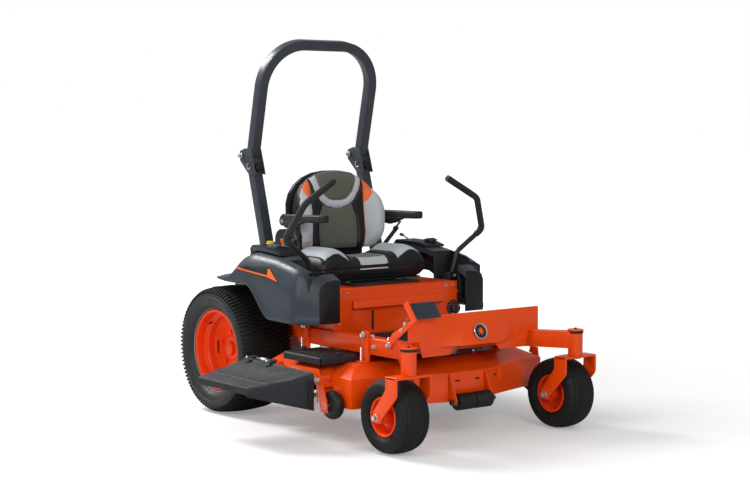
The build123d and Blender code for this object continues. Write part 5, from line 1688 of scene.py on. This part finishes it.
class MOWER_OT_belt_covers(bpy.types.Operator):
    """Builds the ribbed black covers over the outer belt pulleys"""
    bl_idname = "mower.belt_covers"
    bl_label = "Belt covers"

    def execute(self, context):
        round_node("belt_covers", "dark ribbed plastic", 0.003, 3)
        ribs = []
        for s in (-1, 1):
            for k in range(7):
                y = -0.915 + 0.0415 * k
                ribs.append(box_piece("cover_rib", (min(s * 0.432, s * 0.612), y - 0.005, 0.3830),
                                      (max(s * 0.432, s * 0.612), y + 0.005, 0.3875), 0.002, 2))
            ribs.append(box_piece("cover_step", (min(s * 0.470, s * 0.590), -0.895, 0.3835),
                                  (max(s * 0.470, s * 0.590), -0.690, 0.3855), 0.002, 2))
        dress(joined("cover_ribs", ribs), "dark ribbed plastic", "deck")
        knobs = []
        for s in (-1, 1):
            for y in (-0.925, -0.660):
                knob = spun("cover_knob", [(0, 0.016), (0.011, 0.015), (0.013, 0.012), (0.013, 0.004),
                                           (0.009, 0), (0, 0)], 24, open_ended=True)
                knobs.append(put(knob, (s * 0.520, y, 0.3835)))
        dress(soften(joined("cover_knobs", knobs), 0), "black plastic", "deck")
        return {"FINISHED"}


class MOWER_OT_chute(bpy.types.Operator):
    """Builds the moulded discharge chute with its creases, ribbed front wall and hinge clips"""
    bl_idname = "mower.chute"
    bl_label = "Discharge chute"

    def execute(self, context):
        hinge_x, end_x = -0.668, -0.953
        rows = [(0, 0.3350), (0.10, 0.3320), (0.115, 0.3260), (0.40, 0.3070), (0.415, 0.3035),
                (0.72, 0.2870), (0.735, 0.2820), (0.965, 0.2690), (0.99, 0.2640), (1.0, 0.2360)]
        stations = [-0.983, -0.960, -0.945, -0.905, -0.900, -0.780, -0.775, -0.640, -0.635, -0.500,
                    -0.495, -0.440, -0.422]
        fold = [(0.000, 1.0, 0.0), (0.000, 0.5, 0.0), (0.000, 0.0, 0.026), (0.0015, 0.0, 0.016),
                (0.006, 0.0, 0.007), (0.014, 0.0, 0.002)]
        columns = len(fold) + len(stations) - 1
        clear_selection()
        bpy.ops.mesh.primitive_grid_add(x_subdivisions=len(rows) - 1, y_subdivisions=columns - 1,
                                        size=1)
        sheet = named("chute_sheet")
        order = sorted(sheet.data.vertices, key=lambda v: (round(v.co.x, 4), round(v.co.y, 4)))
        for i, (share, z) in enumerate(rows):
            x = hinge_x + (end_x + 0.004 - hinge_x) * share
            slant = 0.148 * max(0.0, (share - 0.24) / 0.76)
            fore = stations[0] + slant
            low = min(0.154 - (x - hinge_x) * 0.26, z - 0.006)
            for k, (back, down, below) in enumerate(fold):
                drop = (z - 0.026 - low) * down + (0.026 if down else below)
                order[i * columns + k].co = (x, fore + back, max(z - drop, low + 0.0003 * k))
            for k, y in enumerate(stations[1:], 1):
                place = fore + (y - stations[0]) * (stations[-1] - fore) / (stations[-1] - stations[0])
                dip = 0.0022 if k in (4, 5) and 2 <= i <= 7 else 0
                order[i * columns + len(fold) + k - 1].co = (x, place, z - dip)
        edit(sheet)
        choose(sheet, lambda f: middle(f).x > -0.692 and not -0.640 < middle(f).y < -0.470)
        bpy.ops.mesh.delete(type="FACE")
        bpy.ops.mesh.select_all(action="SELECT")
        bpy.ops.mesh.normals_make_consistent(inside=False)
        done()
        if sum(p.normal.z for p in sheet.data.polygons) < 0:
            edit(sheet)
            bpy.ops.mesh.flip_normals()
            done()
        modify(sheet, "SOLIDIFY", thickness=0.0048, offset=-1)
        soften(sheet, 0.0014, 2, 34, 40)
        wall = []
        for x in (-0.704, -0.722, -0.952):
            high = track([(-0.953, 0.245), (-0.668, 0.318)], x) - 0.008
            y = -0.9835 if x > -0.76 else -0.8375
            wall.append(box_piece("chute_rib", (x - 0.0035, y - 0.0014, 0.172 - (x + 0.692) * 0.22),
                                  (x + 0.0035, y + 0.003, high), 0.0012))
        barrel = bar("chute_barrel", [(-0.668, -0.6585, 0.3325), (-0.668, -0.4565, 0.3325)], 0.0105)
        piece = joined("chute_shell", [sheet] + wall)
        dress(piece, "chute plastic", "chute", ["chute"])
        dress(barrel, "slate body plastic", "chute")
        clips = []
        for y in (-0.640, -0.475):
            clips.append(plate("hinge_clip", [(-0.664, y - 0.014, 0.3440), (-0.720, y - 0.014, 0.3365),
                                              (-0.738, y, 0.3340), (-0.720, y + 0.014, 0.3365),
                                              (-0.664, y + 0.014, 0.3440)], (0, 0, 0.0040), 0.0012))
        dress(joined("hinge_clips", clips), "slate bar paint", "chute")
        bolts("hinge_bolts", "chute", [((-0.712, y, 0.3412), UP, 0.0085) for y in (-0.640, -0.475)])
        coils = []
        for k in range(9):
            ring = spun("hinge_spring", [(0.0112, -0.0016), (0.0132, -0.0010), (0.0132, 0.0010),
                                         (0.0112, 0.0016)], 20)
            coils.append(put(ring, (-0.668, -0.570 + 0.0042 * k, 0.3325), (0, 1, 0)))
        dress(soften(joined("hinge_spring", coils), 0), "bright steel", "chute")
        return {"FINISHED"}


class MOWER_OT_deck_wheels(bpy.types.Operator):
    """Builds the deck's gauge wheels and ribbed front rollers"""
    bl_idname = "mower.deck_wheels"
    bl_label = "Deck wheels"

    def execute(self, context):
        wheel = spun("gauge_tyre", [(0.0082, -0.0278), (0.0170, -0.0278), (0.0180, -0.0250),
                                    (0.0360, -0.0205), (0.0400, -0.0245), (0.0460, -0.0250),
                                    (0.0560, -0.0215), (0.0618, -0.0130), (0.0640, 0.0),
                                    (0.0618, 0.0130), (0.0560, 0.0215), (0.0460, 0.0250),
                                    (0.0400, 0.0245), (0.0360, 0.0205), (0.0180, 0.0250),
                                    (0.0170, 0.0278), (0.0082, 0.0278)], 64)
        soften(wheel, 0, smooth=40)
        for side in BOTH:
            low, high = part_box("gauge_wheel_" + side)
            piece = put(another(wheel, "gauge_tyre_" + side), (low + high) / 2, LEFT * SIDE[side])
            dress(piece, "roller rubber", "gauge_wheel_" + side,
                  ["gauge_wheel_" + side])
        bpy.data.objects.remove(wheel)
        low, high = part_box("front_rollers")
        axis = (low + high) / 2
        halves = []
        for s in (-1, 1):
            section = [(0.0082, 0), (0.0300, 0), (0.0355, 0.0020)]
            for k in range(7):
                at = 0.008 + 0.0130 * k
                section += [(0.0380, at), (0.0380, at + 0.0075), (0.0352, at + 0.0090),
                            (0.0352, at + 0.0115)]
            section += [(0.0355, 0.0965), (0.0300, 0.0980), (0.0082, 0.0980)]
            half = spun("roller_half", section, 48)
            halves.append(put(half, axis + LEFT * s * 0.0020, LEFT * s))
        rollers = soften(joined("front_roller_pair", halves), 0.0006, 2, 35, 40)
        dress(rollers, "roller rubber", "front_rollers", ["front_rollers"])
        return {"FINISHED"}


# ---- engine, drives and pedal ----
class MOWER_OT_engine(bpy.types.Operator):
    """Details the engine, its shroud with screen, the silencer, guard and drive units"""
    bl_idname = "mower.engine"
    bl_label = "Engine"

    def execute(self, context):
        round_node("engine_block", "cast aluminium", 0.004, 3)
        round_node("engine_shroud", "black plastic", 0.004, 3)
        round_node("engine_guard", "black satin paint", 0, 1)
        round_node("transaxles", "cast aluminium", 0.003, 2)
        round_node("muffler", "burnt steel", 0.002)
        screen = [spun("screen_ring", [(r, 0), (r + 0.0030, 0), (r + 0.0030, 0.0022), (r, 0.0022)], 48)
                  for r in (0.018, 0.032, 0.046, 0.060, 0.074, 0.088)]
        for k in range(12):
            spoke = box_piece("screen_spoke", (0.016, -0.0012, -0.0004), (0.096, 0.0012, 0.0018),
                              0.0003, 1)
            screen.append(put(spoke, (0, 0, 0), UP, 2 * pi * k / 12))
        screen = joined("cooling_screen", screen)
        dress(put(screen, (0, 0.180, 0.8005)), "black satin paint", "chassis")
        fins = []
        for s in (-1, 1):
            for k in range(6):
                z = 0.528 + 0.018 * k
                fins.append(box_piece("cylinder_fin", (min(s * 0.145, s * 0.222), 0.106, z),
                                      (max(s * 0.145, s * 0.222), 0.274, z + 0.004), 0.001, 1))
        dress(joined("cylinder_fins", fins), "cast aluminium", "chassis")
        filter_piece = spun("oil_filter", [(0, 0.070), (0.028, 0.070), (0.034, 0.066), (0.036, 0.058),
                                           (0.036, 0.006), (0.033, 0), (0, 0)], 40, open_ended=True)
        put(soften(filter_piece, 0), (0.120, 0.326, 0.530), (0.2, 1, 0))
        dress(filter_piece, "yellow plastic", "chassis")
        ribs = []
        for k in range(9):
            x = -0.120 + 0.030 * k
            ribs.append(box_piece("air_box_rib", (x - 0.004, 0.0245, 0.760), (x + 0.004, 0.0325, 0.792),
                                  0.0015, 1))
        dress(joined("air_box_ribs", ribs), "black plastic", "chassis")
        places = [((s * x, y, 0.7615), UP, 0.0095) for s in (-1, 1) for x, y in ((0.150, 0.075),
                                                                               (0.150, 0.290))]
        places += [((s * 0.3305, y, 0.345), LEFT * s, 0.0100) for s in (-1, 1) for y in (-0.06, 0.06)]
        bolts("engine_bolts", "chassis", places)
        shield = []
        for k in range(8):
            x = -0.1225 + 0.035 * k
            shield.append(box_piece("heat_louvre", (x - 0.011, 0.4665, 0.535), (x + 0.011, 0.4790, 0.600),
                                    0.003, 2))
        dress(joined("heat_shield", shield), "burnt steel", "chassis")
        return {"FINISHED"}


class MOWER_OT_pedal(bpy.types.Operator):
    """Builds the deck lift pedal from a bevelled arm and a ribbed pad"""
    bl_idname = "mower.pedal"
    bl_label = "Lift pedal"

    def execute(self, context):
        round_node("deck_lift_pedal", "gloss orange paint", 0.0018)
        low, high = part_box("deck_lift_pedal")
        slope = Vector((0, -0.80, 0.60)).normalized()
        pad = plate("pedal_pad", [(-0.394, -1.3125, 0.5735), (-0.246, -1.3125, 0.5735),
                                  (-0.246, -1.2640, 0.6385), (-0.394, -1.2640, 0.6385)],
                    slope * 0.0065, 0.002)
        ribs = []
        for k in range(6):
            low_point = Vector((0, -1.3125, 0.5735)).lerp(Vector((0, -1.2640, 0.6385)), 0.12 + 0.15 * k)
            rib = plate("pad_rib", [(-0.386, low_point.y, low_point.z),
                                    (-0.254, low_point.y, low_point.z),
                                    (-0.254, low_point.y + 0.0030, low_point.z + 0.0040),
                                    (-0.386, low_point.y + 0.0030, low_point.z + 0.0040)],
                        slope * 0.0085, 0.0006, 1)
            ribs.append(rib)
        dress(joined("pedal_pad", [pad] + ribs), "slate body plastic", "deck_lift_pedal")
        bolts("pedal_bolts", "deck_lift_pedal",
              [((-0.4095, -1.150, 0.446), -LEFT, 0.0140),
               ((-0.4058, -1.262, 0.552), -LEFT, 0.0095), ((-0.4058, -1.236, 0.520), -LEFT, 0.0095)])
        return {"FINISHED"}


class MOWER_PT_panel(bpy.types.Panel):
    """Lists the mower's colours, sizes and building steps"""
    bl_idname = "MOWER_PT_panel"
    bl_label = "Zero turn mower"
    bl_space_type = "VIEW_3D"
    bl_region_type = "UI"
    bl_category = "Mower"

    def draw(self, context):
        looks = context.scene.mower_looks
        for key in MowerLooks.__annotations__:
            self.layout.prop(looks, key)
        for step in STEPS:
            self.layout.operator(step.bl_idname)


STEPS = (MOWER_OT_stage, MOWER_OT_finishes, MOWER_OT_drive_tyres, MOWER_OT_drive_rims,
         MOWER_OT_caster_wheels, MOWER_OT_forks, MOWER_OT_frame, MOWER_OT_foot_panel,
         MOWER_OT_seat_box, MOWER_OT_roll_bar, MOWER_OT_levers, MOWER_OT_backrest,
         MOWER_OT_cushion, MOWER_OT_seat_base, MOWER_OT_armrests, MOWER_OT_seat_belt,
         MOWER_OT_fenders, MOWER_OT_consoles, MOWER_OT_controls, MOWER_OT_deck,
         MOWER_OT_belt_covers, MOWER_OT_chute, MOWER_OT_deck_wheels, MOWER_OT_engine,
         MOWER_OT_pedal)
CLASSES = (MowerLooks,) + STEPS + (MOWER_PT_panel,)


def register():
    for made in CLASSES:
        bpy.utils.register_class(made)
    bpy.types.Scene.mower_looks = bpy.props.PointerProperty(type=MowerLooks)


def unregister():
    del bpy.types.Scene.mower_looks
    for made in reversed(CLASSES):
        bpy.utils.unregister_class(made)


def main():
    """Builds the whole mower."""
    register()
    for step in STEPS:
        group, call = step.bl_idname.split(".")
        getattr(getattr(bpy.ops, group), call)()


if __name__ == "__main__":
    main()
